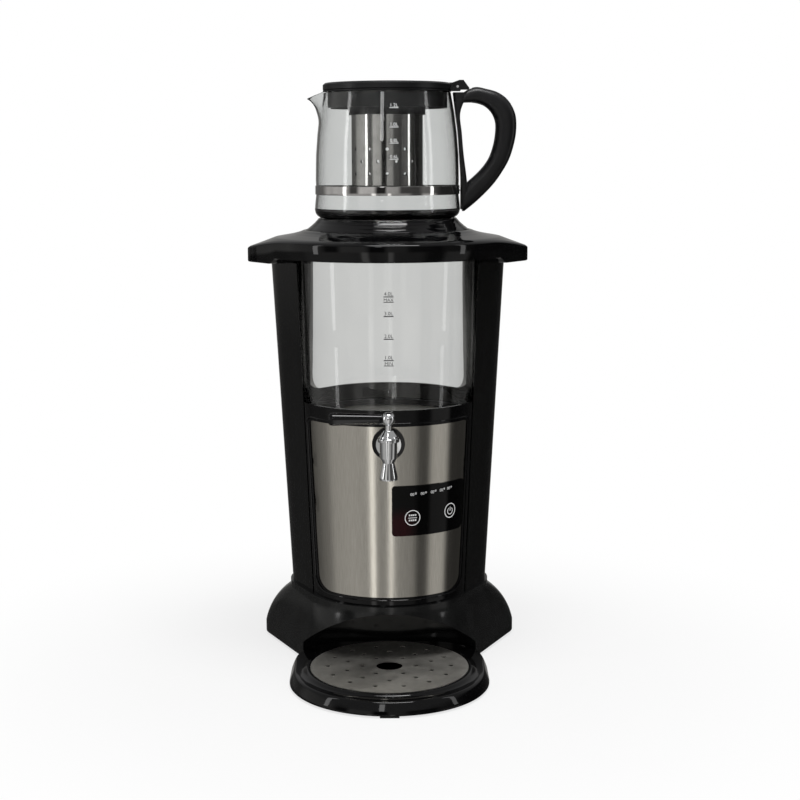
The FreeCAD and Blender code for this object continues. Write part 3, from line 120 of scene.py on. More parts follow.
def rounded(corners, steps=5):
    """Rounds a closed outline: each corner (x, y, radius) becomes an arc that touches both its sides."""
    spots = np.array([corner[:2] for corner in corners], float)
    outline = []
    for index, corner in enumerate(corners):
        here, before, after = spots[index], spots[index - 1], spots[(index + 1) % len(spots)]
        radius = corner[2] if len(corner) > 2 else 0
        to_before, to_after = before - here, after - here
        reach_before, reach_after = np.linalg.norm(to_before), np.linalg.norm(to_after)
        if radius <= 0 or min(reach_before, reach_after) < 1e-6:
            outline.append(here[None])
            continue
        to_before, to_after = to_before / reach_before, to_after / reach_after
        half = math.acos(np.clip(to_before @ to_after, -1, 1)) / 2
        trim = min(radius / math.tan(half), reach_before * 0.49, reach_after * 0.49)
        share = np.linspace(0, 1, steps)[:, None]
        start, end = here + to_before * trim, here + to_after * trim
        outline.append((1 - share) ** 2 * start + 2 * share * (1 - share) * here + share ** 2 * end)
    return np.concatenate(outline)


def turned(profile, centre=(0, 0), steps=160):
    """A surface of revolution: radius r and height z become (r cos a, r sin a, z) for every angle a."""
    angle = np.linspace(0, 2 * math.pi, steps, endpoint=False)
    r, z = profile[:, :1], profile[:, 1:]
    x = centre[0] + r * np.cos(angle)
    y = centre[1] + r * np.sin(angle)
    return np.stack([x, y, np.broadcast_to(z, x.shape)], -1)


# %% [markdown]
# The solids come in as loose flat triangles, which show as facets in a gloss finish. A copy with its
# points merged can be shaded smooth up to the hard edges, so it reflects like a moulded skin.

# %% Smooth skins over solids
def skin(node, material):
    """A merged copy of a solid, smooth where its faces meet at less than an angle."""
    mesh = clean_and_smooth(frame["nodes"][node].data.copy(), merge=1e-5, shortest=1e-6)
    return add_object(node + "_skin", mesh, material, BODY_OF[node], (node,))


# %% [markdown]
# Finishes. Two effects are node groups: the fine unevenness of a moulded or wiped surface, which most
# materials share, and the streaks of brushed metal. The shader itself stays in the material.

# %% Node helpers
def link(tree, start, out, end, into):
    tree.links.new(start.outputs[out], end.inputs[into])


def new_group(name, inputs, outputs):
    """A node group with number inputs, each with its usual value, and typed outputs."""
    tree = bpy.data.node_groups.new(name, "ShaderNodeTree")
    for label, value in inputs:
        socket = tree.interface.new_socket(label, in_out="INPUT", socket_type="NodeSocketFloat")
        socket.default_value = value
    for label, kind in outputs:
        tree.interface.new_socket(label, in_out="OUTPUT", socket_type="NodeSocket" + kind)
    return tree, tree.nodes.new("NodeGroupInput"), tree.nodes.new("NodeGroupOutput")


def stretched(tree, scale=(1, 1, 1)):
    """Object coordinates, stretched by a scale along each axis."""
    place = tree.nodes.new("ShaderNodeTexCoord")
    mapping = tree.nodes.new("ShaderNodeMapping")
    mapping.inputs["Scale"].default_value = scale
    link(tree, place, "Object", mapping, "Vector")
    return mapping


def noise(tree, mapping, scale, detail=3.0, roughness=0.5):
    texture = tree.nodes.new("ShaderNodeTexNoise")
    texture.inputs["Scale"].default_value = scale
    texture.inputs["Detail"].default_value = detail
    texture.inputs["Roughness"].default_value = roughness
    link(tree, mapping, "Vector", texture, "Vector")
    return texture


def maths(tree, operation, *values):
    """A Math node. Each value is a number, or a node and the name of its output."""
    node = tree.nodes.new("ShaderNodeMath")
    node.operation = operation
    for index, value in enumerate(values):
        if isinstance(value, tuple):
            link(tree, *value, node, index)
        else:
            node.inputs[index].default_value = value
    return node


def ranged(tree, node, output, start, end, low=0.0, high=1.0, kind="LINEAR"):
    """A Map Range node: an output that runs from start to end becomes a value from low to high."""
    spread = tree.nodes.new("ShaderNodeMapRange")
    spread.interpolation_type = kind
    for label, value in (("From Min", start), ("From Max", end), ("To Min", low), ("To Max", high)):
        spread.inputs[label].default_value = value
    link(tree, node, output, spread, "Value")
    return spread


def uneven_finish():
    """Roughness wanders between two values in soft patches, and a fine grain moves the normal."""
    tree, given, result = new_group("uneven_finish", [
        ("Low", 0.1), ("High", 0.2), ("Grain Scale", 900.0), ("Grain", 0.1)],
        [("Roughness", "Float"), ("Normal", "Vector")])
    plain = stretched(tree)
    patches = noise(tree, plain, 28.0, 5.0, 0.65)
    spread = ranged(tree, patches, "Fac", 0.35, 0.65)
    link(tree, given, "Low", spread, "To Min")
    link(tree, given, "High", spread, "To Max")
    link(tree, spread, "Result", result, "Roughness")
    grain = noise(tree, plain, 900.0, 2.0)
    link(tree, given, "Grain Scale", grain, "Scale")
    bump = tree.nodes.new("ShaderNodeBump")
    bump.inputs["Distance"].default_value = 0.0002
    link(tree, given, "Grain", bump, "Strength")
    link(tree, grain, "Fac", bump, "Height")
    link(tree, bump, "Normal", result, "Normal")
    return tree


def brushed_finish():
    """Noise drawn out along Z gives fine streaks and a few broad ones, as a mask and a normal."""
    tree, given, result = new_group("brushed_finish", [("Depth", 0.15)], [
        ("Streaks", "Float"), ("Broad", "Float"), ("Normal", "Vector")])
    fine = noise(tree, stretched(tree, (1, 1, 0.012)), 1500.0, 4.0, 0.6)
    broad = noise(tree, stretched(tree, (1, 1, 0.03)), 90.0, 3.0, 0.6)
    bump = tree.nodes.new("ShaderNodeBump")
    bump.inputs["Distance"].default_value = 0.0001
    link(tree, given, "Depth", bump, "Strength")
    link(tree, fine, "Fac", bump, "Height")
    link(tree, fine, "Fac", result, "Streaks")
    link(tree, broad, "Fac", result, "Broad")
    link(tree, bump, "Normal", result, "Normal")
    return tree


UNEVEN = uneven_finish()
BRUSHED = brushed_finish()


def shader(name, **plain):
    """A material with one Principled shader and its plain socket values."""
    material = bpy.data.materials.new(name)
    material.use_nodes = True
    principled = material.node_tree.nodes["Principled BSDF"]
    for label, value in plain.items():
        principled.inputs[label.replace("_", " ")].default_value = value
    return material, material.node_tree, principled


def place_group(tree, group, **values):
    node = tree.nodes.new("ShaderNodeGroup")
    node.node_tree = group
    for label, value in values.items():
        node.inputs[label.replace("_", " ")].default_value = value
    return node


def tinted(tree, principled, mask_node, mask, low, high, span=(0.3, 0.7)):
    """Base Color runs between two colours as a mask runs over a span."""
    ramp = tree.nodes.new("ShaderNodeValToRGB")
    for element, colour, position in zip(ramp.color_ramp.elements, (low, high), span):
        element.color = (*colour, 1)
        element.position = position
    link(tree, mask_node, mask, ramp, "Fac")
    link(tree, ramp, "Color", principled, "Base Color")
    return ramp


def mottled(tree, principled, scale, detail, low, high):
    """Base Color wanders between two colours in soft patches."""
    return tinted(tree, principled, noise(tree, stretched(tree), scale, detail), "Fac", low, high)


def unevenly_finished(tree, principled, low, high, grain_scale, grain):
    """Roughness and normal come from the uneven finish."""
    finish = place_group(tree, UNEVEN, Low=low, High=high, Grain_Scale=grain_scale, Grain=grain)
    link(tree, finish, "Roughness", principled, "Roughness")
    link(tree, finish, "Normal", principled, "Normal")


# %% [markdown]
# The machine is mostly moulded plastic. Pure black looks flat and false, so each black is a very dark
# colour that wanders a little, and gloss differs from satin mostly in its roughness and grain.

# %% Plastics, rubber and board
def moulded(name, low_colour, high_colour, low, high, grain_scale, grain, **plain):
    """Moulded plastic or rubber: a little colour wander, uneven roughness and a fine grain."""
    material, tree, principled = shader(name, **plain)
    unevenly_finished(tree, principled, low, high, grain_scale, grain)
    mottled(tree, principled, 60.0, 4.0, low_colour, high_colour)
    return material


GLOSS_BLACK = moulded("gloss_black", (0.001, 0.001, 0.0012), (0.0022, 0.0022, 0.0025), 0.03, 0.075, 260,
                      0.02, IOR=1.38)
PILLAR_BLACK = moulded("pillar_black", (0.0015, 0.0016, 0.0016), (0.003, 0.0032, 0.0032), 0.05, 0.1, 200,
                       0.03, IOR=1.42)
BASE_BLACK = moulded("base_black", (0.005, 0.0052, 0.0052), (0.009, 0.0094, 0.0094), 0.1, 0.17, 260, 0.03,
                     IOR=1.42)
SATIN_BLACK = moulded("satin_black", (0.003, 0.003, 0.0035), (0.006, 0.006, 0.007), 0.28, 0.4, 1400, 0.12,
                      IOR=1.42)
RUBBER = moulded("soft_rubber", (0.012, 0.012, 0.012), (0.022, 0.022, 0.022), 0.6, 0.8, 900, 0.25)
SILICONE = moulded("pale_silicone", (0.55, 0.55, 0.52), (0.66, 0.66, 0.63), 0.45, 0.6, 700, 0.1)
BOARD = moulded("circuit_board", (0.01, 0.07, 0.03), (0.02, 0.11, 0.05), 0.3, 0.45, 500, 0.15)


def between(tree, axes, axis, full, none):
    """1 where an object coordinate is on the full side, 0 past the other, smooth between."""
    return ranged(tree, axes, axis, full * MM, none * MM, 1.0, 0.0, "SMOOTHSTEP")


def touch_black():
    """Gloss black touch glass with a dark red display film behind its lower left part."""
    material, tree, principled = shader("touch_black", IOR=1.3)
    unevenly_finished(tree, principled, 0.02, 0.05, 260, 0.01)
    place = tree.nodes.new("ShaderNodeTexCoord")
    axes = tree.nodes.new("ShaderNodeSeparateXYZ")
    link(tree, place, "Object", axes, "Vector")
    film = maths(tree, "MULTIPLY", (between(tree, axes, "X", 13.0, 30.0), "Result"),
                 (between(tree, axes, "Z", 158.0, 174.0), "Result"))
    tinted(tree, principled, film, "Value", (0.0008, 0.0008, 0.0009), (0.016, 0.0012, 0.0025), (0.0, 1.0))
    return material


TOUCH_BLACK = touch_black()
print("plastics done")


# %% [markdown]
# The front panel is stainless steel brushed up and down. Streaks come from noise drawn out along Z,
# which moves the colour, the roughness and the normal a little, so that a highlight breaks up across them.

# %% Metals
def brushed_metal(name, low_colour, high_colour, low, high, depth):
    """Metal whose colour and roughness follow the streaks."""
    material, tree, principled = shader(name, Metallic=1.0)
    streaks = place_group(tree, BRUSHED, Depth=depth)
    tinted(tree, principled, streaks, "Streaks", low_colour, high_colour)
    spread = ranged(tree, streaks, "Broad", 0.3, 0.7, low, high)
    link(tree, spread, "Result", principled, "Roughness")
    link(tree, streaks, "Normal", principled, "Normal")
    return material


def polished_metal(name, low_colour, high_colour, low, high):
    """Bright metal with faint wiping marks."""
    material, tree, principled = shader(name, Metallic=1.0)
    unevenly_finished(tree, principled, low, high, 300, 0.02)
    mottled(tree, principled, 120.0, 4.0, low_colour, high_colour)
    return material


PANEL_STEEL = brushed_metal("panel_steel", (0.56, 0.535, 0.48), (0.66, 0.635, 0.575), 0.13, 0.2, 0.1)
PLAIN_STEEL = polished_metal("plain_steel", (0.5, 0.49, 0.475), (0.6, 0.59, 0.575), 0.12, 0.2)
GRATE_STEEL = polished_metal("grate_steel", (0.66, 0.64, 0.59), (0.78, 0.76, 0.71), 0.36, 0.46)
MIRROR_STEEL = polished_metal("mirror_steel", (0.6, 0.59, 0.58), (0.7, 0.69, 0.68), 0.04, 0.1)
CHROME = polished_metal("chrome", (0.74, 0.75, 0.76), (0.82, 0.83, 0.84), 0.015, 0.05)
print("metals done")


# %% [markdown]
# Both vessels are clear glass with a faint grey cast. Each has a true inner and outer wall, so the
# light bends twice and the rims go dark by themselves.

# %% Glass and marks
def clear_glass(name, low_colour, high_colour):
    material, tree, principled = shader(name, Transmission_Weight=1.0, IOR=1.45)
    mottled(tree, principled, 14.0, 2.0, low_colour, high_colour)
    smears = place_group(tree, UNEVEN, Low=0.0, High=0.02, Grain_Scale=60, Grain=0.0)
    link(tree, smears, "Roughness", principled, "Roughness")
    return material


def print_ink(name, low_colour, high_colour, glow=0.0):
    """Printed ink, slightly uneven; the touch marks glow a little."""
    material, tree, principled = shader(name, Roughness=0.5)
    ramp = mottled(tree, principled, 900.0, 3.0, low_colour, high_colour)
    if glow:
        link(tree, ramp, "Color", principled, "Emission Color")
        principled.inputs["Emission Strength"].default_value = glow
    return material


TANK_GLASS = clear_glass("tank_glass", (0.9, 0.905, 0.9), (0.93, 0.935, 0.925))
POT_GLASS = clear_glass("pot_clear_glass", (0.9, 0.91, 0.905), (0.93, 0.94, 0.93))
BLACK_INK = print_ink("black_ink", (0.001, 0.001, 0.001), (0.003, 0.003, 0.003))
WHITE_INK = print_ink("white_ink", (0.7, 0.72, 0.72), (0.85, 0.86, 0.86))
KEY_LIGHT = print_ink("key_light", (0.5, 0.5, 0.5), (0.62, 0.62, 0.62), 0.35)
print("glass and inks done")

# %% [markdown]
# The tank is a slightly flared tube of glass, open at both ends, whose rims are ground round.

# %% Glass tank
TANK = {"bottom": 257.0, "top": 413.0, "low": 86.0, "high": 92.6, "wall": 3.0}


def tank_radius(z):
    """Outer radius of the tank: straight between its lower and upper radius."""
    share = (z - TANK["bottom"]) / (TANK["top"] - TANK["bottom"])
    return TANK["low"] + share * (TANK["high"] - TANK["low"])


tank_profile = rounded([
    (TANK["low"] - TANK["wall"], TANK["bottom"], 0.8), (TANK["low"], TANK["bottom"], 0.8),
    (TANK["high"], TANK["top"], 0.8), (TANK["high"] - TANK["wall"], TANK["top"], 0.8)], 4)
tank_wall = surface("tank_glass_wall", turned(tank_profile, steps=192))
add_object("tank_glass_wall", tank_wall, TANK_GLASS, "machine", ("glass_tank",))

# %% [markdown]
# The collar on top is a ring whose outline swells into two carrying ears. For each direction the
# distance to the outline is worked out first, then the same rounded section is carried round it.

# %% Top collar
COLLAR = {"radius": 118.0, "ear_reach": 139.5, "ear": 18.0, "mouth": 81.0, "mouth_top": 436.0,
          "seat": 433.1, "bore": 78.4, "pocket": 93.1, "pocket_top": 414.5, "underside": 405.0,
          "front_underside": 410.5}
COLLAR_TOP = np.array([(81, 436.5), (84, 435.8), (88, 434.2), (95, 432.4), (102, 431.1), (112, 429.4),
                       (118, 427.2), (124, 424.9), (139.5, 419.4)])
MOUTH_ROUND = 0.6
EDGE_IN, EDGE_DOWN, EDGE_LIFT = 2.2, 2.0, 0.25
FRONT_STEP_AT, FRONT_STEP = 40, 8


def belt_radius(angle, big, small, reach):
    """Distance from the middle to a belt round a big circle and a small circle at each side."""
    centre = reach - small
    lean = math.acos((big - small) / centre)
    turn = np.abs((np.asarray(angle) + math.pi / 2) % math.pi - math.pi / 2)
    flat = big / np.cos(turn - lean)
    touch = math.atan2(small * math.sin(lean), centre + small * math.cos(lean))
    end = centre * np.cos(turn) + np.sqrt(np.maximum(small ** 2 - (centre * np.sin(turn)) ** 2, 0))
    return np.where(turn > lean, big, np.where(turn > touch, flat, end))


def collar_top(r):
    """Height of the collar's top, through its crown, its shoulder and the ears' ends."""
    return np.interp(r, COLLAR_TOP[:, 0], COLLAR_TOP[:, 1])


def carried_round(rows, angle):
    """Rows of a radius r and a height z, one number or one per angle a, become (r cos a, r sin a, z)."""
    places = [np.broadcast_arrays(r * np.cos(angle), r * np.sin(angle), z) for r, z in rows]
    return np.array([np.stack(place, -1) for place in places])


collar_angle = np.sort(np.concatenate([
    np.linspace(-math.pi, math.pi, 240, endpoint=False),
    np.linspace(-0.16, 0.16, 40), np.linspace(math.pi - 0.16, math.pi + 0.16, 40)]))
edge = belt_radius(collar_angle, COLLAR["radius"], COLLAR["ear"], COLLAR["ear_reach"])
front_share = np.clip((-np.sin(collar_angle) * edge - FRONT_STEP_AT) / FRONT_STEP, 0, 1)
under = COLLAR["underside"] + (COLLAR["front_underside"] - COLLAR["underside"]) * front_share
rows = []
for share in np.linspace(0, 1, 22):
    radius = COLLAR["mouth"] + MOUTH_ROUND + (edge - EDGE_IN - COLLAR["mouth"] - MOUTH_ROUND) * share
    rows.append((radius, collar_top(radius)))
for turn in np.linspace(0.3, 1, 5) * math.pi / 2:
    height = collar_top(edge) - EDGE_DOWN * (1 - math.cos(turn)) + EDGE_LIFT * math.cos(turn)
    rows.append((edge - EDGE_IN * (1 - math.sin(turn)), height))
rows += [(edge, under + 1.2), (edge - 0.4, under + 0.35), (edge - 1.2, under),
         (COLLAR["pocket"] + 0.8, under), (COLLAR["pocket"], under + 0.8),
         (COLLAR["pocket"], COLLAR["pocket_top"]),
         (COLLAR["bore"], COLLAR["pocket_top"]), (COLLAR["bore"], COLLAR["seat"]),
         (COLLAR["mouth"], COLLAR["seat"]), (COLLAR["mouth"], COLLAR["mouth_top"])]
collar = surface("collar_skin", carried_round(rows, collar_angle))
add_object("collar_skin", collar, GLOSS_BLACK, "machine", ("top_collar",))

# %% [markdown]
# The lid of the tank is a low cone with a raised rim. The teapot stands on the flat seat inside it.

# %% Tank lid
lid_profile = rounded([
    (0, 444.0), (64.0, 444.0, 1), (74.8, 433.1, 1), (74.8, 421.1, 0.6), (77.8, 421.1, 0.8),
    (77.8, 433.1, 0.3), (80.4, 433.1, 0.5), (80.4, 436.5, 0.8), (76.0, 439.9, 4), (72.0, 443.4, 4),
    (68.2, 447.7, 1.2), (66.9, 447.7, 0.4), (66.6, 447.0, 0.2), (0, 447.0)])
add_object("tank_lid_skin", surface("tank_lid_skin", turned(lid_profile)), GLOSS_BLACK, "tank_cover",
           ("tank_lid",))

# %% [markdown]
# The teapot is blown glass: a rounded foot, a waist for the steel band, a body that draws in towards
# the mouth, and a lip pulled out on one side. The lip is the same wall with its radius stretched
# towards one direction, more the higher the point is.

# %% Teapot glass
POT = {"mouth": 570.0, "mouth_radius": 62.6, "wall": 2.4, "rim": 568.9, "rim_rise": 1.1,
       "inner_floor": 452.8}
LIP = {"foot": 538.0, "reach": 79.3, "drop": 6.0, "drop_from": 555, "drop_over": 15}
LIP_HALF_ANGLE = math.radians(17)
POT_PROFILE = np.array([
    (447.0, 60.5), (447.1, 62.0), (447.5, 64.2), (448.4, 67.0), (450.0, 69.4), (452.5, 71.2), (456.0, 72.0),
    (463.0, 71.4), (470.0, 70.6), (480.5, 70.6), (484.5, 70.8), (495.0, 70.6), (510.0, 70.2), (530.0, 68.6),
    (550.0, 66.1), (565.0, 63.4), (570.0, 62.6)])


def pot_outer(z):
    """Outer radius of the pot at a height, straight between its stations."""
    return np.interp(z, POT_PROFILE[:, 0], POT_PROFILE[:, 1])


def lip_pull(angle, z, tip):
    """How far the wall is pulled out: full at the left, none past the lip's angle, more with height."""
    away = np.abs(angle % (2 * math.pi) - math.pi)
    across = np.clip(1 - away / LIP_HALF_ANGLE, 0, 1)
    across = across ** 1.5 * (1 + 0.6 * (1 - across))
    up = np.clip((z - LIP["foot"]) / (POT["mouth"] - LIP["foot"]), 0, 1) ** 1.8
    return tip * across * up


pot_angle = np.sort(np.concatenate([
    np.linspace(0, 2 * math.pi, 160, endpoint=False),
    math.pi + np.linspace(-LIP_HALF_ANGLE, LIP_HALF_ANGLE, 41)[1:-1] + 1e-4]))
outer_z = np.concatenate([
    [447.0, 447.1, 447.5, 448.4, 450, 452.5, 454, 456, 459, 463, 467, 470, 471, 479.5, 480.5, 482],
    [484.5, 488],
    np.linspace(495, 530, 6), np.linspace(536, 569, 18)])
inner_z = np.concatenate([
    np.linspace(569, 536, 18), np.linspace(530, 488, 7),
    [484.5, 480, 471, 466, 461, 457.5, 455, 453.6, 453]])
pull, wall = LIP["reach"] - POT["mouth_radius"], POT["wall"]
rows = [(0.0, 448.4), (52.0, 448.0), (56.0, 447.3)]
rows += [(pot_outer(z) + lip_pull(pot_angle, z, pull), z) for z in outer_z]
rim = POT["mouth_radius"] - wall / 2 + lip_pull(pot_angle, POT["mouth"], pull - wall / 4)
for turn in (0.3, 1.0, 1.7, 2.4):
    rows.append((rim + wall / 2 * math.cos(turn), POT["rim"] + POT["rim_rise"] * math.sin(turn)))
for z in inner_z:
    inset = wall + max(0, 457.5 - z) ** 1.6 * 0.35
    rows.append((pot_outer(max(z, 456.0)) - inset + lip_pull(pot_angle, z, pull - 0.4), z))
rows.append((0.0, POT["inner_floor"]))
grid = carried_round(rows, pot_angle)
left = np.clip((-grid[..., 0] - POT["mouth_radius"]) / pull, 0, 1)
grid[..., 2] -= LIP["drop"] * left * np.clip((grid[..., 2] - LIP["drop_from"]) / LIP["drop_over"], 0, 1)
pot_wall = surface("teapot_glass", grid, wrap_rows=False)
add_object("teapot_glass", pot_wall, POT_GLASS, "teapot", ("pot_glass",))

band_profile = rounded([(70.6, 471.0), (71.4, 471.0, 0.3), (71.4, 479.5, 0.3), (70.6, 479.5)], 4)
band = surface("teapot_band", turned(band_profile))
add_object("teapot_band", band, MIRROR_STEEL, "teapot", ("pot_band",))

# %% [markdown]
# The handle is a D: an outer curve and an inner curve with a soft, nearly round section between them.
# Both curves are drawn with the same number of points, and each pair carries one section.

# %% Teapot handle
def evenly(points, count, closed=False):
    """Points at even steps along a path: each coordinate is looked up at the length walked so far."""
    points = np.concatenate([points, points[:1]]) if closed else points
    length = np.concatenate([[0], np.cumsum(np.linalg.norm(np.diff(points, axis=0), axis=1))])
    even = np.linspace(0, length[-1], count, endpoint=not closed)
    return np.stack([np.interp(even, length, points[:, column]) for column in range(points.shape[1])], 1)


def smooth_path(points, count):
    """A smooth open curve through points: a Catmull-Rom blend of each four neighbours, evenly spaced."""
    points = np.array(points, float)
    padded = np.concatenate([[2 * points[0] - points[1]], points, [2 * points[-1] - points[-2]]])
    share = np.linspace(0, 1, 24, endpoint=False)[:, None]
    a, b, c, d = [padded[start:len(padded) - 3 + start, None] for start in range(4)]
    curve = 0.5 * (2 * b + (c - a) * share + (2 * a - 5 * b + 4 * c - d) * share ** 2
                   + (3 * b - a - 3 * c + d) * share ** 3)
    return evenly(np.concatenate([curve.reshape(-1, points.shape[1]), points[-1:]]), count)


def soft_section(bulge):
    """A soft square round a circle: the sign of cos and of sin, times their size to a power."""
    turn = np.linspace(0, 2 * math.pi, 28, endpoint=False)
    return [np.sign(wave) * np.abs(wave) ** bulge for wave in (np.cos(turn), np.sin(turn))]


def closed_ends(grid):
    """The grid with one more row at each end, all of whose points fall on that end's middle."""
    first, last = [np.broadcast_to(grid[row].mean(0), grid[row].shape)[None] for row in (0, -1)]
    return np.concatenate([first, grid, last])


LOOP_HALF_WIDTH, LOOP_END_THINNER, STRIP_HALF_WIDTH = 10.0, 1.2, 9.6
outer_curve = smooth_path([
    (72.6, 558), (74.5, 569.2), (86, 574.6), (97, 573), (109, 569.4), (119, 561.8), (125.6, 550),
    (127.3, 537), (125.6, 522), (120.5, 505), (113, 491.5), (104, 479.2), (91, 466), (79, 456),
    (74.4, 453.6), (72.9, 460)], 90)
inner_curve = smooth_path([
    (72.0, 556.6), (74.2, 559.2), (80, 559.4), (87, 559.0), (95, 556.4), (101.4, 551), (105.4, 543.6),
    (106.6, 535), (105, 521), (101, 508), (95.6, 499), (88, 490.6), (79.6, 483), (75.4, 478.4),
    (73.6, 472), (73.0, 463)], 90)
middle, half = (outer_curve + inner_curve) / 2, (outer_curve - inner_curve) / 2
across, depth = soft_section(0.72)
along = np.linspace(0, 1, len(middle))
half_width = LOOP_HALF_WIDTH - LOOP_END_THINNER * np.clip(1 - np.minimum(along, 1 - along) / 0.05, 0, 1)
flat = middle[:, None] + half[:, None] * across[None, :, None]
grid = np.stack([flat[..., 0], half_width[:, None] * depth[None], flat[..., 1]], -1)
loop_mesh = surface("teapot_handle_loop", closed_ends(grid), wrap_rows=False)

strip_rows = smooth_path([
    (64.5, 569.4, 79.6), (66.9, 550, 71.9), (69.5, 530, 73.4), (70.9, 510, 75.2), (72.3, 487, 78.2),
    (72.35, 470, 79.5), (72.4, 456, 75.0)], 60)
near, height, far = strip_rows.T[:, :, None]
across, depth = soft_section(0.35)
strip_x = (near + far) / 2 + (far - near) / 2 * across
strip_y = STRIP_HALF_WIDTH * depth[None] * np.ones((len(strip_rows), 1))
grid = np.stack([strip_x, strip_y, np.broadcast_to(height, strip_x.shape)], -1)
strip_mesh = surface("teapot_handle_strip", closed_ends(grid), wrap_rows=False)

# %% [markdown]
# The lid's thumb tab swings through the top of the handle, so a slot is taken out of it. A sharp cut is
# hard to build into a grid, but a Boolean modifier takes a box out of a finished mesh exactly.

# %% Slot for the lid's thumb tab
def slotted(mesh, low, high):
    """The mesh with a box taken out of it, given by two corners in millimetres."""
    low, high = np.array(low, float), np.array(high, float)
    corners = np.array([[a, b, c] for a in (0, 1) for b in (0, 1) for c in (0, 1)])
    cutter_mesh = bpy.data.meshes.new("slot")
    cutter_mesh.from_pydata(((low + corners * (high - low)) * MM).tolist(), [], [
        (0, 1, 3, 2), (4, 6, 7, 5), (0, 4, 5, 1), (2, 3, 7, 6), (0, 2, 6, 4), (1, 5, 7, 3)])
    cutter, holder = bpy.data.objects.new("slot", cutter_mesh), bpy.data.objects.new("holder", mesh)
    for item in (cutter, holder):
        bpy.context.scene.collection.objects.link(item)
    knife = holder.modifiers.new("slot", "BOOLEAN")
    knife.operation, knife.solver, knife.object = "DIFFERENCE", "EXACT", cutter
    result = bpy.data.meshes.new_from_object(holder.evaluated_get(bpy.context.evaluated_depsgraph_get()))
    for item in (cutter, holder):
        bpy.data.objects.remove(item)
    result.shade_smooth()
    result.set_sharp_from_angle(angle=SMOOTH_ANGLE)
    return result


THUMB_SLOT = ((62.2, AXIS_Y - 5.3, 559.0), (83.5, AXIS_Y + 5.3, 580.0))
add_object("teapot_handle", slotted(loop_mesh, *THUMB_SLOT), SATIN_BLACK, "teapot")
root = slotted(strip_mesh, *THUMB_SLOT)
add_object("teapot_handle_root", root, SATIN_BLACK, "teapot", ("pot_handle",))

# %% [markdown]
# The base, pillars, front frame and the small moulded parts are right as solids, so they only need a
# smooth skin and their finish.

# %% Skins and finishes of the solids
skin("base_housing", BASE_BLACK)
for node in ("front_frame", "tap_escutcheon"):
    skin(node, GLOSS_BLACK)
skin("touch_panel", TOUCH_BLACK)
skin("body_shell", PILLAR_BLACK)
for node in ("mouth_collar", "infuser_ring", "pot_lid", "tank_seat", "base_plate", "tray_feet"):
    skin(node, SATIN_BLACK)
skin("steel_front_panel", PANEL_STEEL)
for node in ("drip_grate", "heater_plate"):
    skin(node, GRATE_STEEL)
for node in ("thermostat", "heating_element", "tap_nut"):
    skin(node, PLAIN_STEEL)
skin("infuser_basket", MIRROR_STEEL)
for node in ("tap_body", "tap_plug", "hinge_pin", "clamp_screw", "base_screws"):
    skin(node, CHROME)
for node in ("rubber_feet", "cord_gland"):
    skin(node, RUBBER)
for node in ("tank_lower_seal", "tank_upper_seal", "lid_gasket", "outlet_elbow"):
    skin(node, SILICONE)
for node in ("power_board", "touch_board", "thermal_fuse"):
    skin(node, BOARD)

# %% [markdown]
# The drip tray's outline is a half circle in front and straight sides that end in two round corners.
# The same outline, drawn in step by step, makes the moulded edge, and then blends into the round rim.

# %% Drip tray
TRAY = {"centre": 98.0, "radius": 97.5, "corner": 58.0, "back": 5.0, "rim_radius": 83.6, "rim_rise": 0.75}


def tray_outline(inset, count):
    """Points of the outline drawn in by an inset, evenly spaced and starting at the front."""
    half = TRAY["radius"] - inset
    corner = TRAY["corner"] - inset
    turn = np.linspace(-math.pi / 2, 0, 60)
    front = np.stack([half * np.cos(turn), -TRAY["centre"] + half * np.sin(turn)], 1)
    turn = np.linspace(0, math.pi / 2, 40)
    middle_x, middle_y = half - corner, -TRAY["back"] - inset - corner
    rear = np.stack([middle_x + corner * np.cos(turn), middle_y + corner * np.sin(turn)], 1)
    side = np.concatenate([front, rear, [[0, -TRAY["back"] - inset]]])
    right = evenly(side, count // 2 + 1)
    left = right[-2:0:-1] * [-1, 1]
    return np.concatenate([right, left])


COUNT = 240
outline = tray_outline(0, COUNT)
bearing = np.arctan2(outline[:, 1] + TRAY["centre"], outline[:, 0])


def tray_circle(radius):
    """A circle about the tray's middle, with a point in the direction of each of the outline's."""
    return np.stack([radius * np.cos(bearing), -TRAY["centre"] + radius * np.sin(bearing)], 1)


under_rows = [(0.0, 1.5), (60.0, 1.5)]
edge_rows = [(2.2, 1.5), (0.9, 1.7), (0.2, 2.5), (0.1, 3.6), (1.2, 6.5), (2.4, 9.5), (3.6, 12.0),
             (4.3, 13.2), (5.2, 13.85), (6.6, 14.05)]
well_rows = [(82.0, 16.0), (80.8, 16.95), (79.8, 17.25), (78.4, 17.3), (77.7, 17.15), (77.4, 16.8),
             (77.4, 16.5), (74.4, 16.5), (74.0, 16.1), (74.0, 5.5), (73.5, 4.4), (72.0, 4.0), (0.0, 4.0)]
rows = [(tray_circle(radius), z) for radius, z in under_rows]
rows += [(tray_outline(inset, COUNT), z) for inset, z in edge_rows]
edge_row, edge_z = rows[-1]
for share in (0.35, 0.7, 1.0):
    blend = edge_row * (1 - share) + tray_circle(TRAY["rim_radius"]) * share
    rows.append((blend, edge_z + TRAY["rim_rise"] * share ** 2))
rows += [(tray_circle(radius), z) for radius, z in well_rows]
grid = np.array([np.concatenate([flat, np.full((COUNT, 1), z)], 1) for flat, z in rows])
tray = surface("drip_tray_skin", grid, wrap_rows=False)
add_object("drip_tray_skin", tray, GLOSS_BLACK, "tray", ("drip_tray",))

# %% [markdown]
# The tap's cap, ball and lever are turned parts. The lever is a tapered rod with a round end.

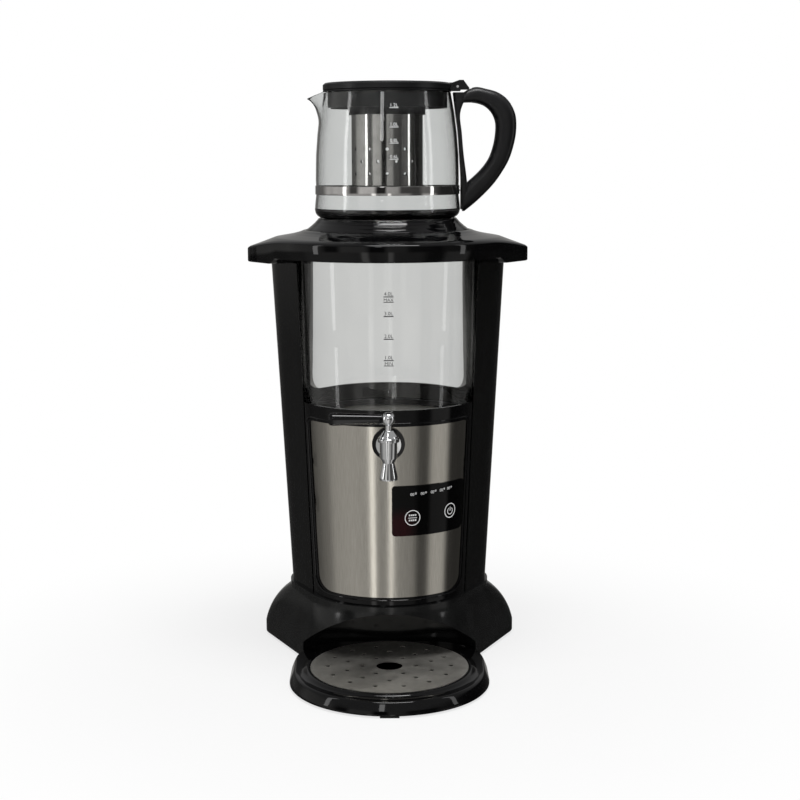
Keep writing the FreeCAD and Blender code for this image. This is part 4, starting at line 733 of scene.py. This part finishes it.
# %% Tap cap, ball and lever
TAP_Y = -128.0
BALL = {"z": 266.5, "radius": 6.6}
cap_profile = rounded([
    (3.1, 245.0), (10.2, 245.0, 0.5), (10.2, 248.4, 0.8), (9.2, 248.9, 0.4), (8.6, 250.6, 1.5),
    (6.2, 253.6, 2), (4.6, 256.0, 0.8), (3.1, 256.0)])
cap = surface("tap_cap_skin", turned(cap_profile, (0, TAP_Y), 96))
add_object("tap_cap_skin", cap, CHROME, "machine", ("tap_cap",))
arc = np.linspace(-math.pi / 2, math.pi / 2, 40)
ball_profile = np.stack([BALL["radius"] * np.cos(arc), BALL["z"] + BALL["radius"] * np.sin(arc)], 1)
ball = surface("tap_ball_skin", turned(ball_profile, (0, TAP_Y), 96), wrap_rows=False)
add_object("tap_ball_skin", ball, CHROME, "tap_turner", ("tap_ball",))
lever_profile = rounded([
    (0, 5.4), (4.0, 5.4, 0.5), (4.5, 8.5, 1), (5.9, 46.0, 12), (6.1, 52.0, 3), (5.2, 55.6, 3),
    (0, 56.0)], 8)
upright = turned(lever_profile, steps=64)
lever = np.stack([-upright[..., 2], TAP_Y + upright[..., 1], BALL["z"] + upright[..., 0]], -1)
lever_mesh = surface("tap_lever_skin", lever, wrap_rows=False)
add_object("tap_lever_skin", lever_mesh, GLOSS_BLACK, "tap_turner", ("tap_lever",))

# %% [markdown]
# A thin raised bead frames the steel panel. Its path is the panel's outline laid on the front's cone,
# and a small circle is carried along it.

# %% Bead round the panel
NOSE = {"low_z": 72.0, "low": 82.0, "rise": 333.0, "spread": 14.5}


def nose_radius(z):
    """Radius of the front's cone at a height."""
    return NOSE["low"] + (z - NOSE["low_z"]) / NOSE["rise"] * NOSE["spread"]


def on_nose(flat, lift):
    """Lays (x, z) points on the front's cone, lifted off it: y is minus the root of r r - x x."""
    radius = nose_radius(flat[:, 1]) + lift
    return np.stack([flat[:, 0], -np.sqrt(radius ** 2 - flat[:, 0] ** 2), flat[:, 1]], 1)


def carried(path, radius, steps=10):
    """A tube along a closed path: two directions across the path carry a small circle."""
    ahead = np.roll(path, -1, 0) - np.roll(path, 1, 0)
    ahead /= np.linalg.norm(ahead, axis=1, keepdims=True)
    out = path * [1, 1, 0]
    out /= np.linalg.norm(out, axis=1, keepdims=True)
    side = np.cross(ahead, out)
    side /= np.linalg.norm(side, axis=1, keepdims=True)
    turn = np.linspace(0, 2 * math.pi, steps, endpoint=False)[None, :, None]
    return path[:, None] + radius * (np.cos(turn) * out[:, None] + np.sin(turn) * side[:, None])


bead_outline = rounded([(-72.9, 78.0, 16), (72.9, 78.0, 16), (80.6, 255.0, 6), (-80.6, 255.0, 6)], 12)
bead_path = on_nose(evenly(bead_outline, 420, closed=True), -0.25)
bead = surface("panel_bead", carried(bead_path, 0.75))
add_object("panel_bead", bead, GLOSS_BLACK, "machine")

# %% [markdown]
# The marks. Level marks are printed in black on the front of the tank, and pale on the teapot. Text
# is laid flat first, then each point's sideways place becomes an angle round the glass.

# %% Level marks
INK, MARK_LIFT = 0.06, 0.05
FONT_PER_CAPITAL = 1.38


def flat_text(words, height):
    """Mesh points and faces of a line of text in millimetres, centred sideways, standing on z = 0."""
    curve = bpy.data.curves.new("marks", "FONT")
    curve.body = words
    curve.size = height * FONT_PER_CAPITAL
    curve.align_x = "CENTER"
    curve.extrude = INK / 2
    curve.resolution_u = 3
    holder = bpy.data.objects.new("marks", curve)
    mesh = bpy.data.meshes.new_from_object(holder)
    points = np.zeros(len(mesh.vertices) * 3)
    mesh.vertices.foreach_get("co", points)
    faces = [list(face.vertices) for face in mesh.polygons]
    bpy.data.objects.remove(holder)
    return points.reshape(-1, 3), faces


def end_caps(rows):
    """The two end faces of a strip whose rows have four corners each."""
    last = 4 * (rows - 1)
    return [[3, 2, 1, 0], [last, last + 1, last + 2, last + 3]]


def bar(width, height, columns=9):
    """The same for a flat bar, cut into columns so that it can bend."""
    x = np.linspace(-width / 2, width / 2, columns)
    corners = np.array([(0, 0), (height, 0), (height, INK), (0, INK)]) - [0, INK / 2]
    grid = np.array([[(a, z, d) for z, d in corners] for a in x])
    return grid.reshape(-1, 3), grid_faces(columns, 4, False, True).tolist() + end_caps(columns)


def wrapped(marks, radius_at, lift, centre_x=0.0):
    """Bends flat marks (x, z, depth) round a vessel: the angle is x over the radius."""
    points, faces, start = [], [], 0
    for (flat, cells), x, z in marks:
        radius = radius_at(z + flat[:, 1]) + lift + flat[:, 2]
        angle = (flat[:, 0] + x + centre_x) / radius_at(z)
        points.append(np.stack([radius * np.sin(angle), -radius * np.cos(angle), z + flat[:, 1]], 1))
        faces += [[corner + start for corner in cell] for cell in cells]
        start += len(flat)
    points = np.concatenate(points)
    points[:, 1] += AXIS_Y
    return points, faces


marks = []
for litres, z, extra in ((4, 376.6, "MAX"), (3, 357.9, ""), (2, 336.2, ""), (1, 315.6, "MIN")):
    marks.append((flat_text(str(litres) + ".0L", 3.6), 0, z + 1.6))
    marks.append((bar(9.5, 0.9), 0, z))
    if extra:
        marks.append((flat_text(extra, 3.2), 0, z - 4.0))
        marks.append((bar(9.5, 0.7), 0, z - 5.0))
tank_marks = finish_mesh("tank_level_marks", *wrapped(marks, tank_radius, MARK_LIFT, 0.6))
add_object("tank_level_marks", tank_marks, BLACK_INK, "machine")
marks = []
for z, words in ((553.0, "1.2L"), (535.0, "1.0L"), (520.0, "0.8L"), (505.0, "0.6L")):
    marks.append((flat_text(words, 3.4), 0, z + 1.2))
    marks.append((bar(8.5, 0.6), 0, z))
pot_marks = finish_mesh("teapot_level_marks", *wrapped(marks, pot_outer, MARK_LIFT, 6.5))
add_object("teapot_level_marks", pot_marks, WHITE_INK, "teapot")

# %% [markdown]
# The touch keys are printed behind the gloss panel and lit. Rings and strokes are enough: they have no
# travel, so they ride on the machine.

# %% Touch marks
def ring_mark(radius, width, start=0.0, end=360.0):
    """A flat ring, or a part of one, as a bent bar: (r sin t, r cos t) for each angle t."""
    whole = end - start >= 360
    turn = np.radians(np.linspace(start, end, 49))
    turn = turn[:-1] if whole else turn
    section = np.array([(-width, -INK), (width, -INK), (width, INK), (-width, INK)]) / 2
    grid = np.array([[((radius + a) * math.sin(t), (radius + a) * math.cos(t), d) for a, d in section]
                     for t in turn])
    faces = grid_faces(len(turn), 4, whole, True).tolist()
    return grid.reshape(-1, 3), faces if whole else faces + end_caps(len(turn))


KEYPAD_X, POWER_X = 23.2, 66.0
PANEL_LIFT = 0.68
touch_marks = [
    (ring_mark(7.4, 0.8), KEYPAD_X, 161.5), (ring_mark(7.0, 0.9), POWER_X, 164.0),
    (ring_mark(3.3, 0.8, 35, 325), POWER_X, 163.6), (bar(0.8, 3.8), POWER_X, 163.8),
    (bar(9.0, 0.6), KEYPAD_X, 161.2)]
for z in (163.4, 158.3):
    for column in (-3.0, -0.9, 1.0, 3.0):
        touch_marks.append((bar(1.4, 1.6), KEYPAD_X + column, z))
for x, z in ((23.9, 185.2), (34.4, 185.4), (45.0, 186.0), (55.4, 186.6), (64.6, 187.2)):
    touch_marks.append((flat_text("00", 2.9), x - 1.0, z - 1.6))
    touch_marks.append((ring_mark(0.7, 0.4), x + 2.6, z + 0.6))
lit_marks = finish_mesh("touch_marks", *wrapped(touch_marks, nose_radius, PANEL_LIFT))
add_object("touch_marks", lit_marks, KEY_LIGHT, "machine")

# %% [markdown]
# The floor and the light. The background is white for the eye, while the lamps stay soft and plain, so
# black plastic stays black and shows long, clean reflections.

# %% Floor
WHITE_FROM, WHITE_AT = 0.16, 0.55
NEAR_WHITE = 0.72
GLASS_VIEW = 0.72
FLOOR_REACH = 6.0


def after_gloss(tree, rays):
    """1 for a ray that has left a glossy surface, also when it has passed through glass since."""
    return maths(tree, "MINIMUM", (rays, "Glossy Depth"), 1.0), "Value"


def shader_mix(tree, share, first, second):
    """The output of a Mix Shader node. The share is a node and the name of its output."""
    mix = tree.nodes.new("ShaderNodeMixShader")
    link(tree, *share, mix, 0)
    tree.links.new(first, mix.inputs[1])
    tree.links.new(second, mix.inputs[2])
    return mix.outputs["Shader"]


def floor_material():
    """White to the eye away from the object; near it the floor's own colour keeps the soft shadow."""
    material, tree, principled = shader("floor_white", Roughness=0.9, Specular_IOR_Level=0.1)
    mottled(tree, principled, 3.0, 3.0, (0.86, 0.86, 0.86), (0.88, 0.88, 0.88))
    place = tree.nodes.new("ShaderNodeTexCoord")
    reach = tree.nodes.new("ShaderNodeVectorMath")
    reach.operation = "LENGTH"
    link(tree, place, "Object", reach, 0)
    far = ranged(tree, reach, "Value", WHITE_FROM, WHITE_AT, NEAR_WHITE, 1.0, "SMOOTHSTEP")
    rays = tree.nodes.new("ShaderNodeLightPath")
    eye, glass = (rays, "Is Camera Ray"), (rays, "Is Transmission Ray")
    level = maths(tree, "MULTIPLY_ADD", glass, GLASS_VIEW, eye)
    white = tree.nodes.new("ShaderNodeEmission")
    link(tree, level, "Value", white, "Strength")
    seen = maths(tree, "MAXIMUM", eye, glass)
    share = maths(tree, "MULTIPLY", (far, "Result"), (seen, "Value"))
    paper = shader_mix(tree, (share, "Value"), principled.outputs["BSDF"], white.outputs["Emission"])
    clear = tree.nodes.new("ShaderNodeBsdfTransparent")
    shown = shader_mix(tree, after_gloss(tree, rays), paper, clear.outputs["BSDF"])
    tree.links.new(shown, tree.nodes["Material Output"].inputs["Surface"])
    return material


floor_mesh = bpy.data.meshes.new("floor")
corners = [(x * FLOOR_REACH, y * FLOOR_REACH, 0) for x, y in ((-1, -1), (1, -1), (1, 1), (-1, 1))]
floor_mesh.from_pydata(corners, [], [(0, 1, 2, 3)])
floor = bpy.data.objects.new("floor", floor_mesh)
bpy.context.scene.collection.objects.link(floor)
floor_mesh.materials.append(floor_material())
print("floor done")

# %% [markdown]
# Gloss black shows nothing but what it mirrors, so the world is built as a studio: two rings of soft
# panels, one level with the object and one below it, whose brightness is a ramp over the bearing.
# The lamps only add a little soft light from above, from both sides and from the front.

# %% World and lamps
LOW_PANELS = [
    (-180, 0.3), (-168, 0.3), (-160, 0.06), (-118, 0.08), (-104, 0.15), (-90, 0.2), (-80, 0.36),
    (-50, 0.42), (-30, 0.36), (-26, 0.42), (-24, 1.4), (-20, 1.4), (-17, 0.3), (-12, 0.26), (-3, 0.34),
    (0, 0.4), (1, 1.4), (4, 1.4), (7, 0.36), (14, 0.3), (33, 0.26), (41, 0.07), (54, 0.07), (60, 0.44),
    (82, 0.44), (88, 0.03), (112, 0.03), (160, 0.04), (168, 0.25), (180, 0.3)]
HIGH_PANELS = [
    (-180, 0.35), (-168, 0.3), (-160, 0.12), (-125, 0.14), (-110, 0.45), (-70, 0.52), (-60, 0.06),
    (-50, 0.06), (-44, 0.6), (-22, 0.55), (-16, 0.02), (-4, 0.02), (0, 0.4), (16, 0.34), (22, 0.07),
    (50, 0.05), (60, 0.16), (80, 0.08), (95, 0.02), (125, 0.02), (160, 0.04), (168, 0.3), (180, 0.35)]
PANEL_SEAM, SKY_SEAM = (-0.17, -0.09), (0.22, 0.4)
SKY_GREY, ROOM_LIGHT = 0.34, 0.36
MIX_FIRST, MIX_SECOND, MIX_RESULT = 6, 7, 2  # places of the Mix node's colour sockets


def ring_of_panels(tree, bearing, panels):
    """Brightness all round the studio, as a ramp over the bearing from -180 to 180 degrees."""
    ramp = tree.nodes.new("ShaderNodeValToRGB")
    elements = ramp.color_ramp.elements
    while len(elements) < len(panels):
        elements.new(0.5)
    for element, (degrees, level) in zip(elements, panels):
        element.position = degrees / 360 + 0.5
        element.color = (level, level * 0.985, level * 0.96, 1)
    link(tree, bearing, "Value", ramp, "Fac")
    return ramp


def blend_by_height(tree, height, seam, low, high):
    """Goes from one colour to another over a seam in the height of the view direction."""
    mix = tree.nodes.new("ShaderNodeMix")
    mix.data_type = "RGBA"
    link(tree, ranged(tree, height, "Z", *seam, kind="SMOOTHSTEP"), "Result", mix, "Factor")
    tree.links.new(low, mix.inputs[MIX_FIRST])
    tree.links.new(high, mix.inputs[MIX_SECOND])
    return mix.outputs[MIX_RESULT]


def backdrop(tree, strength, colour=None):
    """The output of a Background node, white or fed by a colour."""
    background = tree.nodes.new("ShaderNodeBackground")
    background.inputs["Color"].default_value = (1, 1, 1, 1)
    background.inputs["Strength"].default_value = strength
    if colour is not None:
        tree.links.new(colour, background.inputs["Color"])
    return background.outputs["Background"]


def build_world():
    """White to the eye. Glass sees an even grey wall, and gloss sees a ring of soft studio panels."""
    world = bpy.data.worlds.new("studio")
    bpy.context.scene.world = world
    world.use_nodes = True
    tree = world.node_tree
    tree.nodes.clear()
    place = tree.nodes.new("ShaderNodeTexCoord")
    parts = tree.nodes.new("ShaderNodeSeparateXYZ")
    link(tree, place, "Generated", parts, "Vector")
    ahead = maths(tree, "MULTIPLY", (parts, "Y"), -1.0)
    turn = maths(tree, "ARCTAN2", (parts, "X"), (ahead, "Value"))
    bearing = maths(tree, "MULTIPLY_ADD", (turn, "Value"), 0.5 / math.pi, 0.5)
    low = ring_of_panels(tree, bearing, LOW_PANELS).outputs["Color"]
    high = ring_of_panels(tree, bearing, HIGH_PANELS).outputs["Color"]
    sky = tree.nodes.new("ShaderNodeRGB")
    sky.outputs["Color"].default_value = (SKY_GREY, SKY_GREY, SKY_GREY, 1)
    walls = blend_by_height(tree, parts, PANEL_SEAM, low, high)
    studio = blend_by_height(tree, parts, SKY_SEAM, walls, sky.outputs["Color"])
    rays = tree.nodes.new("ShaderNodeLightPath")
    shown = backdrop(tree, ROOM_LIGHT)
    shown = shader_mix(tree, (rays, "Is Transmission Ray"), shown, backdrop(tree, GLASS_VIEW))
    shown = shader_mix(tree, after_gloss(tree, rays), shown, backdrop(tree, 1.0, studio))
    shown = shader_mix(tree, (rays, "Is Camera Ray"), shown, backdrop(tree, 1.0))
    out = tree.nodes.new("ShaderNodeOutputWorld")
    tree.links.new(shown, out.inputs["Surface"])


def lamp(name, place, target, width, height, power):
    """A soft rectangular lamp that looks at a point."""
    data = bpy.data.lights.new(name, "AREA")
    data.shape = "RECTANGLE"
    data.size, data.size_y = width, height
    data.energy = power
    item = bpy.data.objects.new(name, data)
    bpy.context.scene.collection.objects.link(item)
    item.location = place
    item.rotation_euler = (Vector(target) - Vector(place)).to_track_quat("-Z", "Y").to_euler()


build_world()
lamp("lamp_left", (-1.5, -0.5, 0.7), (0, 0, 0.3), 0.16, 1.3, power=2)
lamp("lamp_right", (1.5, -0.4, 0.7), (0, 0, 0.3), 0.16, 1.3, power=1.5)
lamp("lamp_top", (0.1, -0.45, 1.9), (0, 0, 0.3), 0.9, 0.6, power=22)
lamp("lamp_front", (-0.35, -2.3, 1.3), (0, 0, 0.25), 0.25, 0.8, power=2.5)
print("world and lamps done")

# %% [markdown]
# The camera stands straight in front, at the height of the teapot, and looks down by nine degrees. A
# small sideways shift frames the object without turning the view.

# %% Camera
FOCAL_PIXELS, FRAME_PIXELS, SENSOR = 1550.0, 800.0, 36.0
CAMERA_DISTANCE, CAMERA_HEIGHT = 1550, 0.511
AXIS_PIXEL = 388.3
PITCH, ROLL = math.radians(9.05), math.radians(0.25)
camera_data = bpy.data.cameras.new("camera")
camera_data.sensor_width = SENSOR
camera_data.lens = FOCAL_PIXELS / FRAME_PIXELS * SENSOR
camera_data.shift_x = (FRAME_PIXELS / 2 - AXIS_PIXEL) / FRAME_PIXELS
camera_data.clip_end = 50
camera = bpy.data.objects.new("camera", camera_data)
bpy.context.scene.collection.objects.link(camera)
look = Matrix.Rotation(math.pi / 2 - PITCH, 4, "X") @ Matrix.Rotation(-ROLL, 4, "Z")
camera.matrix_world = Matrix.Translation((0, (AXIS_Y - CAMERA_DISTANCE) * MM, CAMERA_HEIGHT)) @ look
bpy.context.scene.camera = camera
bpy.context.scene.view_settings.view_transform = "Standard"
